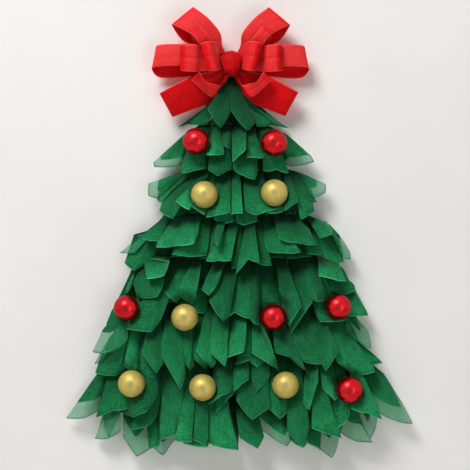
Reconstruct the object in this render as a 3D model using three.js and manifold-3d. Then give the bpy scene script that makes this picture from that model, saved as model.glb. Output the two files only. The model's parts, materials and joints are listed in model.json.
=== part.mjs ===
// A door hanging in the shape of a fir tree: a bent wire frame dressed with pleated tiers of
// green cloth, twelve baubles wired on, and a red ribbon bow at the top.
// Millimetres. +Z is up, +Y points at the door, and the origin is where the nail carries the bail.
import * as THREE from "three";
import { mergeVertices } from "three/addons/utils/BufferGeometryUtils.js";
import Module from "manifold-3d";

const wasm = await Module();
wasm.setup();

// Fits
const GAP = 0.3; // between pieces that touch on the real object

// Wire frame
const OUTLINE_WIRE = 3.2; // diameter of the bent outline
const BAR_WIRE = 2.6; // diameter of the cross bars
const BAR_OVERHANG = 2; // how far a bar's end runs past the middle of the outline wire
const APEX_DROP = 12; // nail to the middle of the apex wire
const BASE_DROP = 508; // nail to the middle of the base wire
const APEX_HALF_WIDTH = 16;
const BASE_HALF_WIDTH = 208;
const APEX_BEND = 6; // bend radius at the two apex corners
const BASE_BEND = 16; // bend radius at the two base corners
const BAR_DROP_SHARES = [0.197, 0.325, 0.453, 0.583, 0.715, 0.852]; // of BASE_DROP
const WIRE_SIDES = 8;
const BEND_STEPS = 4;

// Hanging bail
const BAIL_WIRE = 2;
const BAIL_HALF_WIDTH = 7; // to the middle of its wire
const BAIL_LEG = 6; // middle of the apex wire to where the bail's arch springs
const BAIL_SIDES = 8;
const BAIL_ARCH_STEPS = 8;
const BAIL_HOOK_STEPS = 6;
const BAIL_HOOK_DEGREES = 240;

// Baubles
const LARGE_BALL = 40; // diameter
const SMALL_BALL = 38;
const BALL_WALL = 1.2;
const NECK_RADIUS = 5;
const NECK_HEIGHT = 2;
const CAP_WALL = 0.8;
const CAP_CROWN = 1.6; // thickness of the cap's crown
const CAP_SKIRT = 1.5; // how far the skirt comes down past the neck's mouth
const RING_RADIUS = 3; // middle of the cap ring's wire
const RING_WIRE = 1;
const RING_SINK = 1; // how deep the ring stands in the crown
const TIE_WIRE = 1.2;
const EYE_RADIUS = 2.6; // middle of the tie's eye
const TIE_REACH = 20; // frame's middle plane to the tie's eye
const TIE_INSET = 5; // how far inside the outline a tie can grip a bar at most
const LIFT_DEGREES = 20; // how far a ball can be tipped up
const BALL_ROOM = 3; // room round a ball in the cloth
const CAP_ROOM = 3.5; // room round a cap in the cloth
const TIE_ROOM = 1.1; // room round a tie in the cloth
const BALL_SEGMENTS = 12; // of a cap too, so that their flats line up
const BALL_ARC_STEPS = 8;
const LINING_ARC_STEPS = 4;
const RING_SEGMENTS = 8;
const TIE_SIDES = 4;
const EYE_STEPS = 7;
const EYE_DEGREES = 320;
const HOOK_STEPS = 8;
const HOOK_DEGREES = 300;
const CUTTER_SEGMENTS = 10;
const CUTTER_ARC_STEPS = 3;

// Cloth tiers
const CLOTH = 2; // thickness of a tier's doubled cloth, front to back
const HEADING = 6; // how far the gathered top stands above its wire
const TIER_DROP = 100; // gathers to hem on a plain tier
const TIER_FORWARD = 36; // how far a plain tier's hem stands out from its gathers
const WING = 40; // how far a plain tier's hem reaches out past the outline
const HEM_SHIFT = 9; // how far the fullest hems hang over to the right
const PEAK_GATHER = 22; // apex wire to the gathers of the peak
const GATHER_PLEAT = 2; // pleat depth at the gathers
const HEM_PLEAT = 8; // pleat depth at the hem
const SWELL_POWER = 1.7; // how soon a tier swells out below its gathers, 1 for a straight slope
const HEM_DIP = 12; // how much lower the front folds hang than the back ones
const TIER_ROWS = 4;

// Bow
const KNOT_DROP = 6; // nail to the middle of the knot
const RIBBON = 1; // ribbon thickness
const PINCH_WIDTH = 8; // ribbon gathered at the middle of the bow
const PINCH_ROOM = 0.8; // above and below the pinched ribbon, inside the bow wire
const PLY_PITCH = 1.6; // from one ply to the next at the pinch
const BOW_BACK = 9.5; // frame's middle plane to the rearmost ply
const LARGE_REACH = 116; // middle of the knot to the end of the longest loop
const LARGE_RIBBON = 46; // ribbon width
const LARGE_WIDE_AT = 82; // middle of the knot to where the gathered ribbon has its whole width
const SMALL_REACH = 78;
const SMALL_RIBBON = 34;
const SMALL_WIDE_AT = 60;
const LOOP_PUFF = 16; // how far a large loop's front ply swells out
const BACK_PUFF_SHARE = 0.4; // of LOOP_PUFF, how far its rear ply swells back
const SMALL_PUFF = 8;
const KNOT_WIDTH = 30;
const KNOT_HALF_HEIGHT = 18;
const KNOT_FRONT = 13; // frontmost ply to the front of the knot
const KNOT_SLOT = 6; // opening at the knot's back that the bow wire leaves by
const KNOT_STEPS = 22;
const BOW_WIRE = 1.2;
const LOOP_STEPS = 16;

const GREEN_CLOTH = { name: "green_cloth", color: 0x12703f, roughness: 0.85, metalness: 0 };
const RED_RIBBON = { name: "red_ribbon", color: 0xd81a1f, roughness: 0.6, metalness: 0 };
const RED_BALL = { name: "red_ball", color: 0xc3040c, roughness: 0.2, metalness: 0.8 };
const GOLD_BALL = { name: "gold_ball", color: 0xc2a548, roughness: 0.45, metalness: 0.6 };
const CAP_METAL = { name: "cap_metal", color: 0xc9a24a, roughness: 0.35, metalness: 1 };
const GREEN_WIRE = { name: "green_wire", color: 0x1f4a2c, roughness: 0.5, metalness: 0.4 };

const tree = new THREE.Group();
const v3 = (x, y, z) => new THREE.Vector3(x, y, z);
const { lerp, degToRad, smoothstep } = THREE.MathUtils;

// Middle planes, front to back: the outline is at zero and the bars lie on its front.
const BAR_FORWARD = OUTLINE_WIRE / 2 + GAP + BAR_WIRE / 2;

// The outline's half width at some drop below the nail.
const outlineHalfWidth = (drop) =>
  lerp(APEX_HALF_WIDTH, BASE_HALF_WIDTH, (drop - APEX_DROP) / (BASE_DROP - APEX_DROP));

function add(name, geometry, look) {
  const mesh = new THREE.Mesh(geometry, new THREE.MeshStandardMaterial(look));
  mesh.name = name;
  tree.add(mesh);
}

// A wire bent through points, with one tube step from each point to the next.
class BentWire extends THREE.Curve {
  constructor(points) {
    super();
    this.points = points;
  }
  getPoint(t, target = v3()) {
    const place = t * (this.points.length - 1);
    const i = Math.min(Math.floor(place), this.points.length - 2);
    return target.lerpVectors(this.points[i], this.points[i + 1], place - i);
  }
  getPointAt(u, target) {
    return this.getPoint(u, target);
  }
  getTangentAt(u, target = v3()) {
    const last = this.points.length - 1;
    const i = Math.round(u * last);
    const here = this.points[i];
    const arriving = here.clone().sub(this.points[Math.max(i - 1, 0)]).normalize();
    const leaving = this.points[Math.min(i + 1, last)].clone().sub(here).normalize();
    return target.copy(arriving).add(leaving).normalize();
  }
}

// A round wire with flat sides, one of them square to the plane that the wire is bent in.
function wire(points, diameter, sides) {
  const corner = diameter / 2 / Math.cos(Math.PI / sides);
  const turn = (2 * Math.PI) / sides;
  const ring = Array.from({ length: sides }, (_, i) => (i + 0.5) * turn);
  const section = new THREE.Shape(
    ring.map((a) => new THREE.Vector2(corner * Math.cos(a), corner * Math.sin(a))),
  );
  return new THREE.ExtrudeGeometry(section, {
    steps: points.length - 1,
    extrudePath: new BentWire(points),
    bevelEnabled: false,
  });
}

const FRONT_DEGREES = 180; // the way out from the door in an arc's plane

// Points on an arc in the YZ plane at x, round a centre, from one angle to another.
function arcYZ(x, centre, radius, fromDegrees, toDegrees, steps) {
  return Array.from({ length: steps + 1 }, (_, i) => {
    const a = degToRad(lerp(fromDegrees, toDegrees, i / steps));
    return v3(x, centre.y + radius * Math.cos(a), centre.z + radius * Math.sin(a));
  });
}

// How far a wire's middle lies from the middle of the frame wire that it is hooked round, so that
// its straight facets still clear that wire's corners.
function hookRadius(carrier, diameter, degrees, steps) {
  const reach = carrier / 2 / Math.cos(Math.PI / WIRE_SIDES) + GAP + diameter / 2;
  return reach / Math.cos(degToRad(degrees / steps / 2));
}

function toSolid(geometry) {
  const bare = geometry.clone();
  bare.deleteAttribute("normal");
  bare.deleteAttribute("uv");
  const merged = mergeVertices(bare);
  const corners = merged.index.array;
  const kept = [];
  for (let i = 0; i < corners.length; i += 3) {
    const [a, b, c] = [corners[i], corners[i + 1], corners[i + 2]];
    if (a !== b && b !== c && c !== a) kept.push(a, b, c);
  }
  return new wasm.Manifold(
    new wasm.Mesh({
      numProp: 3,
      vertProperties: new Float32Array(merged.attributes.position.array),
      triVerts: new Uint32Array(kept),
    }),
  );
}

function toGeometry(solid) {
  const mesh = solid.getMesh();
  const geometry = new THREE.BufferGeometry();
  geometry.setAttribute("position", new THREE.BufferAttribute(mesh.vertProperties, 3));
  geometry.setIndex(new THREE.BufferAttribute(mesh.triVerts, 1));
  geometry.computeVertexNormals();
  return geometry;
}

// A scrap of hem that a cut leaves loose isn't part of the cloth.
const largestPiece = (solid) =>
  solid.decompose().reduce((largest, piece) => (piece.volume() > largest.volume() ? piece : largest));

// A closed body from rings of corners, each ring joined to the next. Without caps the last ring
// joins the first again.
function skin(rings, capped) {
  const size = rings[0].length;
  const positions = rings.flat().flatMap((p) => [p.x, p.y, p.z]);
  const index = [];
  const spans = capped ? rings.length - 1 : rings.length;
  for (let i = 0; i < spans; i++) {
    const here = i * size;
    const next = ((i + 1) % rings.length) * size;
    for (let j = 0; j < size; j++) {
      const k = (j + 1) % size;
      index.push(here + j, here + k, next + k, here + j, next + k, next + j);
    }
  }
  if (capped) {
    const last = (rings.length - 1) * size;
    for (let j = 0; j < size / 2 - 1; j++) {
      const k = size - 1 - j;
      index.push(k, j + 1, j, k, k - 1, j + 1);
      index.push(last + k, last + j, last + j + 1, last + k, last + j + 1, last + k - 1);
    }
  }
  const geometry = new THREE.BufferGeometry();
  geometry.setAttribute("position", new THREE.Float32BufferAttribute(positions, 3));
  geometry.setIndex(index);
  return geometry;
}

// Wire frame

function outlineWire() {
  const seam = GAP / 2; // the bent wire's ends meet at the middle of the base
  const slope = Math.atan2(BASE_DROP - APEX_DROP, BASE_HALF_WIDTH - APEX_HALF_WIDTH);
  const baseTurn = Math.PI - slope;
  const bend = (cornerX, drop, radius, from, turn) => {
    const tangent = radius * Math.tan(turn / 2);
    const start = v3(cornerX - tangent * Math.cos(from), 0, -drop - tangent * Math.sin(from));
    return Array.from({ length: BEND_STEPS + 1 }, (_, i) => {
      const a = (turn * i) / BEND_STEPS;
      const along = radius * Math.sin(a);
      const aside = radius * (1 - Math.cos(a));
      return v3(
        start.x + along * Math.cos(from) - aside * Math.sin(from),
        0,
        start.z + along * Math.sin(from) + aside * Math.cos(from),
      );
    });
  };
  const right = [
    ...bend(BASE_HALF_WIDTH, BASE_DROP, BASE_BEND, 0, baseTurn),
    ...bend(APEX_HALF_WIDTH, APEX_DROP, APEX_BEND, baseTurn, slope),
  ];
  const left = right.map((p) => v3(-p.x, 0, p.z)).reverse();
  const points = [v3(seam, 0, -BASE_DROP), ...right, ...left, v3(-seam, 0, -BASE_DROP)];
  add("outline_wire", wire(points, OUTLINE_WIRE, WIRE_SIDES), GREEN_WIRE);
}

const barDrops = BAR_DROP_SHARES.map((share) => share * BASE_DROP);

function crossBars() {
  barDrops.forEach((drop, i) => {
    const half = outlineHalfWidth(drop) + BAR_OVERHANG;
    const points = [v3(-half, -BAR_FORWARD, -drop), v3(half, -BAR_FORWARD, -drop)];
    add(`cross_bar_${i + 1}`, wire(points, BAR_WIRE, WIRE_SIDES), GREEN_WIRE);
  });
}

// The bail is hooked round the apex wire on both sides and folds back towards the door.
function hangingBail() {
  const apex = v3(0, 0, -APEX_DROP);
  const hook = hookRadius(OUTLINE_WIRE, BAIL_WIRE, BAIL_HOOK_DEGREES, BAIL_HOOK_STEPS);
  const springing = -APEX_DROP + BAIL_LEG;
  const rise = BAIL_WIRE / 2 - springing;
  const leftHook = arcYZ(
    -BAIL_HALF_WIDTH, apex, hook, FRONT_DEGREES + BAIL_HOOK_DEGREES, FRONT_DEGREES, BAIL_HOOK_STEPS,
  );
  const arch = Array.from({ length: BAIL_ARCH_STEPS + 1 }, (_, i) => {
    const a = Math.PI * (1 - i / BAIL_ARCH_STEPS);
    return v3(BAIL_HALF_WIDTH * Math.cos(a), 0, springing + rise * Math.sin(a));
  });
  const rightHook = leftHook.map((p) => v3(-p.x, p.y, p.z)).reverse();
  add("hanging_bail", wire([...leftHook, ...arch, ...rightHook], BAIL_WIRE, BAIL_SIDES), GREEN_WIRE);
}

// Baubles
// Each is hung by its cap from a twisted wire, dimple to the front. Across is a share of the
// base's half width and drop is a share of the base's drop. The wire is the bar that the tie
// goes round, counted from the top, and the one after the last bar is the base wire.
const BALLS = [
  { look: RED_BALL, size: LARGE_BALL, acrossShare: -0.263, dropShare: 0.25, wire: 0 },
  { look: RED_BALL, size: LARGE_BALL, acrossShare: 0.29, dropShare: 0.255, wire: 0 },
  { look: GOLD_BALL, size: LARGE_BALL, acrossShare: -0.203, dropShare: 0.405, wire: 1 },
  { look: GOLD_BALL, size: LARGE_BALL, acrossShare: 0.294, dropShare: 0.4, wire: 1 },
  { look: RED_BALL, size: SMALL_BALL, acrossShare: -0.757, dropShare: 0.735, wire: 4 },
  { look: GOLD_BALL, size: LARGE_BALL, acrossShare: -0.343, dropShare: 0.762, wire: 4 },
  { look: RED_BALL, size: LARGE_BALL, acrossShare: 0.287, dropShare: 0.762, wire: 4 },
  { look: RED_BALL, size: SMALL_BALL, acrossShare: 0.749, dropShare: 0.732, wire: 4 },
  { look: GOLD_BALL, size: LARGE_BALL, acrossShare: -0.721, dropShare: 0.955, wire: 6 },
  { look: GOLD_BALL, size: LARGE_BALL, acrossShare: -0.216, dropShare: 0.966, wire: 6 },
  { look: GOLD_BALL, size: LARGE_BALL, acrossShare: 0.374, dropShare: 0.959, wire: 6 },
  { look: RED_BALL, size: LARGE_BALL, acrossShare: 0.829, dropShare: 0.973, wire: 6 },
];

// Heights along a ball's axis, from its centre back towards the frame.
function ballHeights(size) {
  const radius = size / 2;
  const neckFoot = Math.sqrt(radius ** 2 - NECK_RADIUS ** 2);
  const mouth = neckFoot + NECK_HEIGHT;
  const crown = mouth + GAP + CAP_CROWN;
  const ring = crown - RING_SINK + RING_WIRE / 2 + RING_RADIUS;
  return { radius, neckFoot, mouth, crown, ring, pivot: ring + RING_RADIUS };
}

function ballShell(size) {
  const { radius, mouth } = ballHeights(size);
  const bore = NECK_RADIUS - BALL_WALL;
  const arc = (r, opening, steps) => {
    const end = Math.acos(opening / r);
    return Array.from({ length: steps + 1 }, (_, i) => {
      const a = lerp(-Math.PI / 2, end, i / steps);
      return new THREE.Vector2(i === 0 ? 0 : r * Math.cos(a), r * Math.sin(a));
    });
  };
  const outside = arc(radius, NECK_RADIUS, BALL_ARC_STEPS);
  const inside = arc(radius - BALL_WALL, bore, LINING_ARC_STEPS).reverse();
  const neck = [new THREE.Vector2(NECK_RADIUS, mouth), new THREE.Vector2(bore, mouth)];
  return new THREE.LatheGeometry([...outside, ...neck, ...inside], BALL_SEGMENTS);
}

function ballCap(size) {
  const { mouth, crown, ring } = ballHeights(size);
  const inside = NECK_RADIUS + GAP;
  const outside = inside + CAP_WALL;
  const ceiling = mouth + GAP;
  const skirt = mouth - CAP_SKIRT;
  const profile = [
    [0, ceiling], [inside, ceiling], [inside, skirt], [outside, skirt], [outside, crown], [0, crown],
  ].map(([r, h]) => new THREE.Vector2(r, h));
  const cup = new THREE.LatheGeometry(profile, BALL_SEGMENTS);
  const loop = new THREE.TorusGeometry(RING_RADIUS, RING_WIRE / 2, TIE_SIDES, RING_SEGMENTS);
  loop.translate(0, ring, 0);
  return toSolid(cup).add(toSolid(loop));
}

// The ring hangs at the foot of the tie's eye, so the eye's middle is this much higher.
const eyeFacet = Math.cos(degToRad(EYE_DEGREES / EYE_STEPS / 2));
const eyeSeat = EYE_RADIUS * eyeFacet - TIE_WIRE / 2 - GAP - RING_WIRE / 2;

// Where a tie grips its wire: behind the ball, or as far out as the wire lets it.
function tieRoot(hinge, bar) {
  return v3(Math.sign(hinge.x) * Math.min(Math.abs(hinge.x), bar.reach), bar.centre.y, bar.centre.z);
}

// From the eye in the cap's ring straight to a frame wire, and once round it.
function ballTie(eye, bar) {
  const root = tieRoot(eye, bar);
  const toBar = THREE.MathUtils.radToDeg(Math.atan2(root.z - eye.z, root.y - eye.y));
  const backToEye = toBar + 180;
  const opened = toBar + 360 - EYE_DEGREES;
  const points = [
    ...arcYZ(eye.x, eye, EYE_RADIUS, opened, toBar + 360, EYE_STEPS),
    ...arcYZ(root.x, root, bar.hook, backToEye, backToEye + HOOK_DEGREES, HOOK_STEPS),
  ];
  return wire(points, TIE_WIRE, TIE_SIDES);
}

// A rod with round ends, from one point to another.
function rod(from, to, radius) {
  const along = to.clone().sub(from);
  const cap = (sign) =>
    Array.from({ length: CUTTER_ARC_STEPS + 1 }, (_, i) => {
      const a = (Math.PI / 2) * (1 - i / CUTTER_ARC_STEPS);
      const r = i === 0 ? 0 : radius * Math.cos(a);
      return new THREE.Vector2(r, (sign * along.length()) / 2 + sign * radius * Math.sin(a));
    });
  const geometry = new THREE.LatheGeometry([...cap(-1), ...cap(1).reverse()], CUTTER_SEGMENTS);
  const middle = from.clone().add(to).multiplyScalar(0.5);
  const turn = new THREE.Quaternion().setFromUnitVectors(v3(0, 1, 0), along.normalize());
  geometry.applyQuaternion(turn);
  return toSolid(geometry.translate(middle.x, middle.y, middle.z));
}

const tieWires = [
  ...barDrops.map((drop) => ({
    centre: v3(0, -BAR_FORWARD, -drop),
    hook: hookRadius(BAR_WIRE, TIE_WIRE, HOOK_DEGREES, HOOK_STEPS),
    reach: outlineHalfWidth(drop) - TIE_INSET,
  })),
  {
    centre: v3(0, 0, -BASE_DROP),
    hook: hookRadius(OUTLINE_WIRE, TIE_WIRE, HOOK_DEGREES, HOOK_STEPS),
    reach: BASE_HALF_WIDTH - BASE_BEND * 2,
  },
];

// What a ball, its cap and its tie need clear of cloth, also while the ball is tipped up.
function ballRoom(hinge, bar, size) {
  const { radius, pivot } = ballHeights(size);
  const lift = degToRad(LIFT_DEGREES);
  const { x, y, z } = hinge;
  const centre = v3(x, y - pivot, z);
  const lifted = v3(x, y - pivot * Math.cos(lift), z + pivot * Math.sin(lift));
  const eye = v3(x, y, z + eyeSeat);
  const root = tieRoot(hinge, bar);
  const side = v3(TIE_WIRE / 2 + TIE_ROOM, 0, 0);
  const capRadius = NECK_RADIUS + GAP + CAP_WALL + CAP_ROOM;
  return [
    rod(centre, lifted, radius + BALL_ROOM),
    rod(centre, eye, capRadius),
    rod(eye, root, TIE_WIRE / 2 + TIE_ROOM),
    rod(root.clone().sub(side), root.clone().add(side), bar.hook + TIE_WIRE / 2 + TIE_ROOM),
  ].reduce((whole, piece) => whole.add(piece));
}

const rooms = [];

function baubles() {
  BALLS.forEach(({ look, size, acrossShare, dropShare, wire: wireNumber }, i) => {
    const number = i + 1;
    const hinge = v3(acrossShare * BASE_HALF_WIDTH, -TIE_REACH, -dropShare * BASE_DROP);
    const eye = v3(hinge.x, hinge.y, hinge.z + eyeSeat);
    const place = [hinge.x, hinge.y - ballHeights(size).pivot, hinge.z];
    const bar = tieWires[wireNumber];
    add(`ball_${number}`, ballShell(size).translate(...place), look);
    add(`ball_cap_${number}`, toGeometry(ballCap(size)).translate(...place), CAP_METAL);
    add(`ball_tie_${number}`, ballTie(eye, bar), GREEN_WIRE);
    rooms.push(ballRoom(hinge, bar, size));
  });
}

// Cloth tiers
// Each tier is one strip, gathered on a wire and pleated down to a flared hem. Its heading stands
// straight up behind the tier above. Shares are of TIER_DROP, TIER_FORWARD, WING and HEM_SHIFT.
// The side share is how much higher the hem is at the two edges than at the middle.
const PEAK =
  { folds: 4, dropShare: 0.66, forwardShare: 0.48, wingShare: 0.75, sideShare: 0.05, shiftShare: 0 };
const TIERS = [
  { folds: 8, dropShare: 0.67, forwardShare: 0.86, wingShare: 1.1, sideShare: 0.2, shiftShare: 0 },
  { folds: 9, dropShare: 0.7, forwardShare: 1.24, wingShare: 0.85, sideShare: 0.4, shiftShare: 0.3 },
  { folds: 11, dropShare: 0.71, forwardShare: 1.06, wingShare: 1.18, sideShare: 0.1, shiftShare: 1 },
  { folds: 12, dropShare: 0.84, forwardShare: 1.04, wingShare: 0.95, sideShare: 0.1, shiftShare: 0.5 },
  { folds: 13, dropShare: 1, forwardShare: 1.12, wingShare: 0.6, sideShare: 0.32, shiftShare: 0.8 },
  { folds: 14, dropShare: 1.1, forwardShare: 0.95, wingShare: 0.9, sideShare: 0.05, shiftShare: 1 },
  { folds: 11, dropShare: 0.77, forwardShare: 0.74, wingShare: -0.7, sideShare: 0.2, shiftShare: 0 },
];

function tierSolid(gatherDrop, back, tier) {
  const top = gatherDrop - HEADING;
  const hemDrop = gatherDrop + tier.dropShare * TIER_DROP;
  const gatherHalf = outlineHalfWidth(gatherDrop);
  const hemHalf = outlineHalfWidth(hemDrop) + tier.wingShare * WING;
  const columns = tier.folds * 2;
  const point = (column, row, thickness) => {
    const across = (2 * column) / columns - 1;
    const down = Math.max(0, row - 1) / (TIER_ROWS - 1);
    const infront = column % 2;
    const swell = 1 - (1 - down) ** SWELL_POWER;
    const hem = hemDrop - tier.sideShare * TIER_DROP * across ** 2 + infront * HEM_DIP;
    const pleat = infront * lerp(GATHER_PLEAT, HEM_PLEAT, down);
    return v3(
      lerp(gatherHalf, hemHalf, down) * across + tier.shiftShare * HEM_SHIFT * down,
      -(back + tier.forwardShare * TIER_FORWARD * swell + pleat + thickness),
      row === 0 ? -top : -lerp(gatherDrop, hem, down),
    );
  };
  const rings = Array.from({ length: columns + 1 }, (_, column) => {
    const rows = Array.from({ length: TIER_ROWS + 1 }, (_, row) => row);
    const front = rows.map((row) => point(column, row, CLOTH));
    const rear = rows.map((row) => point(column, row, 0)).reverse();
    return [...front, ...rear];
  });
  const cut = rooms.reduce((cloth, room) => cloth.subtract(room), toSolid(skin(rings, true)));
  return largestPiece(cut);
}

function cloth() {
  const onOutline = OUTLINE_WIRE / 2 + GAP;
  const onBars = BAR_FORWARD + BAR_WIRE / 2 + GAP;
  add("peak_cap", toGeometry(tierSolid(APEX_DROP + PEAK_GATHER, onOutline, PEAK)), GREEN_CLOTH);
  const gathers = [...barDrops, BASE_DROP];
  TIERS.forEach((tier, i) => {
    const back = i < barDrops.length ? onBars : onOutline;
    add(`tier_${i + 1}`, toGeometry(tierSolid(gathers[i], back, tier)), GREEN_CLOTH);
  });
}

// Bow
// Three large rings of ribbon behind and three small ones in front, all pinched by the knot.
// Each ring makes a loop on the left and one on the right, given as degrees up from level and
// shares of its size's reach: how far it goes, and how far it leans out from the door.
const LARGE_LOOPS = {
  reach: LARGE_REACH,
  width: LARGE_RIBBON,
  wideAt: LARGE_WIDE_AT,
  frontPuff: LOOP_PUFF,
  backPuff: LOOP_PUFF * BACK_PUFF_SHARE,
  rings: [
    { left: { degrees: 5, reachShare: 1, leanShare: 0.04 },
      right: { degrees: 4, reachShare: 0.97, leanShare: 0.04 } },
    { left: { degrees: 44, reachShare: 0.87, leanShare: 0.02 },
      right: { degrees: -36, reachShare: 0.91, leanShare: 0.12 } },
    { left: { degrees: -34, reachShare: 0.98, leanShare: 0.12 },
      right: { degrees: 45, reachShare: 0.85, leanShare: 0.02 } },
  ],
};
const SMALL_LOOPS = {
  reach: SMALL_REACH,
  width: SMALL_RIBBON,
  wideAt: SMALL_WIDE_AT,
  frontPuff: SMALL_PUFF,
  backPuff: 0,
  rings: [
    { left: { degrees: 5, reachShare: 1, leanShare: 0.3 },
      right: { degrees: 4, reachShare: 0.96, leanShare: 0.3 } },
    { left: { degrees: 43, reachShare: 0.94, leanShare: 0.3 },
      right: { degrees: -31, reachShare: 0.8, leanShare: 0.42 } },
    { left: { degrees: -31, reachShare: 0.8, leanShare: 0.42 },
      right: { degrees: 43, reachShare: 0.93, leanShare: 0.3 } },
  ],
};
const PARTING_SHARE = 0.45; // of a loop's spine, where its plies start to part
const LEAD_RISE_SHARE = 0.3; // of a loop's rise, what it takes inside the knot

const ringCount = LARGE_LOOPS.rings.length + SMALL_LOOPS.rings.length;
const stackFront = BOW_BACK + (ringCount * 2 - 1) * PLY_PITCH + RIBBON / 2;
const wrapBack = BOW_BACK - RIBBON / 2 - GAP - BOW_WIRE / 2;
const wrapHalf = PINCH_WIDTH / 2 + PINCH_ROOM + BOW_WIRE / 2;

// A loop's middle line in the plane of the door, out from the middle of the knot.
function loopSpine({ degrees, reachShare }, mirror, reach) {
  const angle = degToRad(degrees);
  const lead = KNOT_WIDTH / 2;
  const through = new THREE.Vector2(mirror * lead, lead * Math.sin(angle) * LEAD_RISE_SHARE);
  const end = new THREE.Vector2(mirror * Math.cos(angle), Math.sin(angle));
  return new THREE.QuadraticBezierCurve(
    new THREE.Vector2(), through, end.multiplyScalar(reachShare * reach),
  );
}

// One ring of ribbon. Its middle line goes out along the left loop's front ply, round the end,
// back along its rear ply, and then round the right loop the other way.
function ribbonRing(ply, { left, right }, size) {
  const centreForward = BOW_BACK + (ply + 0.5) * PLY_PITCH;
  const middle = [];
  [[left, -1], [right, 1]].forEach(([loop, mirror]) => {
    const spine = loopSpine(loop, mirror, size.reach);
    for (let i = 0; i < LOOP_STEPS; i++) {
      const turn = mirror * (-Math.PI + ((i + 0.5) * 2 * Math.PI) / LOOP_STEPS);
      const t = (1 + Math.cos(turn)) / 2;
      const opened = smoothstep(t, PARTING_SHARE, 1);
      const puff = (turn > 0 ? size.frontPuff : size.backPuff) * Math.sin(turn);
      const parting = (PLY_PITCH / 2) * Math.sin(turn / 2);
      const forward = opened * (puff + loop.leanShare * size.reach) + parting;
      const at = spine.getPoint(t);
      const tangent = spine.getTangent(t);
      middle.push({
        at: v3(at.x, -(centreForward + forward), at.y - KNOT_DROP),
        across: v3(-tangent.y, 0, tangent.x).multiplyScalar(mirror),
        half: lerp(PINCH_WIDTH, size.width, smoothstep(at.length(), KNOT_WIDTH / 2, size.wideAt)) / 2,
      });
    }
  });
  const rings = middle.map(({ at, across, half }, i) => {
    const before = middle[(i + middle.length - 1) % middle.length].at;
    const after = middle[(i + 1) % middle.length].at;
    const face = after.clone().sub(before).cross(across).setLength(RIBBON / 2);
    const edge = across.clone().setLength(half);
    return [[1, 1], [-1, 1], [-1, -1], [1, -1]].map(([e, f]) =>
      at.clone().addScaledVector(edge, e).addScaledVector(face, f),
    );
  });
  return skin(rings, false);
}

// A band round the pinch, open at the back where the bow wire leaves it.
function bowKnot() {
  const back = wrapBack - BOW_WIRE / 2 - GAP - RIBBON;
  const reach = (stackFront + KNOT_FRONT - back) / 2;
  const slotMiddle = wrapHalf;
  const opening = (offset) => -Math.asin((offset / KNOT_HALF_HEIGHT) ** 2);
  const from = opening(slotMiddle - KNOT_SLOT / 2);
  const to = 2 * Math.PI + opening(slotMiddle + KNOT_SLOT / 2);
  const bulge = (value) => Math.sign(value) * Math.sqrt(Math.abs(value));
  const corner = (side, inset, angle) =>
    v3(
      (side * KNOT_WIDTH) / 2,
      -(back + reach) + (reach - inset) * bulge(Math.cos(angle)),
      -KNOT_DROP + (KNOT_HALF_HEIGHT - inset) * bulge(Math.sin(angle)),
    );
  const rings = Array.from({ length: KNOT_STEPS + 1 }, (_, i) => {
    const angle = lerp(from, to, i / KNOT_STEPS);
    return [
      corner(1, 0, angle), corner(-1, 0, angle), corner(-1, RIBBON, angle), corner(1, RIBBON, angle),
    ];
  });
  add("bow_knot", skin(rings, true), RED_RIBBON);
}

// Once round the pinch inside the knot, then out of its back and round the apex wire.
function bowWire() {
  const wrapFront = stackFront + GAP + BOW_WIRE / 2;
  const apex = v3(0, 0, -APEX_DROP);
  const hook = hookRadius(OUTLINE_WIRE, BOW_WIRE, HOOK_DEGREES, HOOK_STEPS);
  const points = [
    v3(0, -wrapBack, -KNOT_DROP - wrapHalf + KNOT_SLOT / 2),
    v3(0, -wrapBack, -KNOT_DROP + wrapHalf),
    v3(0, -wrapFront, -KNOT_DROP + wrapHalf),
    v3(0, -wrapFront, -KNOT_DROP - wrapHalf),
    v3(0, -wrapBack, -KNOT_DROP - wrapHalf),
    ...arcYZ(0, apex, hook, FRONT_DEGREES, FRONT_DEGREES + HOOK_DEGREES, HOOK_STEPS),
  ];
  add("bow_wire", wire(points, BOW_WIRE, TIE_SIDES), GREEN_WIRE);
}

function bow() {
  LARGE_LOOPS.rings.forEach((ring, i) => {
    add(`large_loops_${i + 1}`, ribbonRing(i * 2, ring, LARGE_LOOPS), RED_RIBBON);
  });
  SMALL_LOOPS.rings.forEach((ring, i) => {
    const ply = (LARGE_LOOPS.rings.length + i) * 2;
    add(`small_loops_${i + 1}`, ribbonRing(ply, ring, SMALL_LOOPS), RED_RIBBON);
  });
  bowKnot();
  bowWire();
}

outlineWire();
crossBars();
hangingBail();
baubles();
cloth();
bow();

export default tree;
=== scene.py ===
# A door hanging in the shape of a fir tree: tiers of folded cloth on a wire frame, with baubles
# wired on and a ribbon bow at the top.
# Metres. +Z is up, +Y points at the door, and the origin is where the nail carries the bail.
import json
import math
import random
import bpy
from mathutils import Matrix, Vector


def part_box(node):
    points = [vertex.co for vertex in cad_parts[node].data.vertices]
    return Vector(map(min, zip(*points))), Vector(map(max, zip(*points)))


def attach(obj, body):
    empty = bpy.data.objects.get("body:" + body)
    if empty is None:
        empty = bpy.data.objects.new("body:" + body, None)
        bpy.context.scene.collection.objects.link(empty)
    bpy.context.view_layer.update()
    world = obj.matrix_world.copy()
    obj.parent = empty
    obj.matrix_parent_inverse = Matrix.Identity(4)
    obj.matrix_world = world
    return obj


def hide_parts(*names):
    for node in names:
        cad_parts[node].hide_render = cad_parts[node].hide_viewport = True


bl_info = {
    "name": "Door Tree",
    "version": (1, 0, 0),
    "blender": (4, 5, 0),
    "location": "View3D > Sidebar > Door Tree",
    "description": "Dresses a wire door tree with its folded cloth, baubles and ribbon bow",
    "category": "Object",
}

import bmesh
import bpy
from bpy.props import FloatProperty, FloatVectorProperty, IntProperty, PointerProperty
from mathutils import Vector, noise

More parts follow.
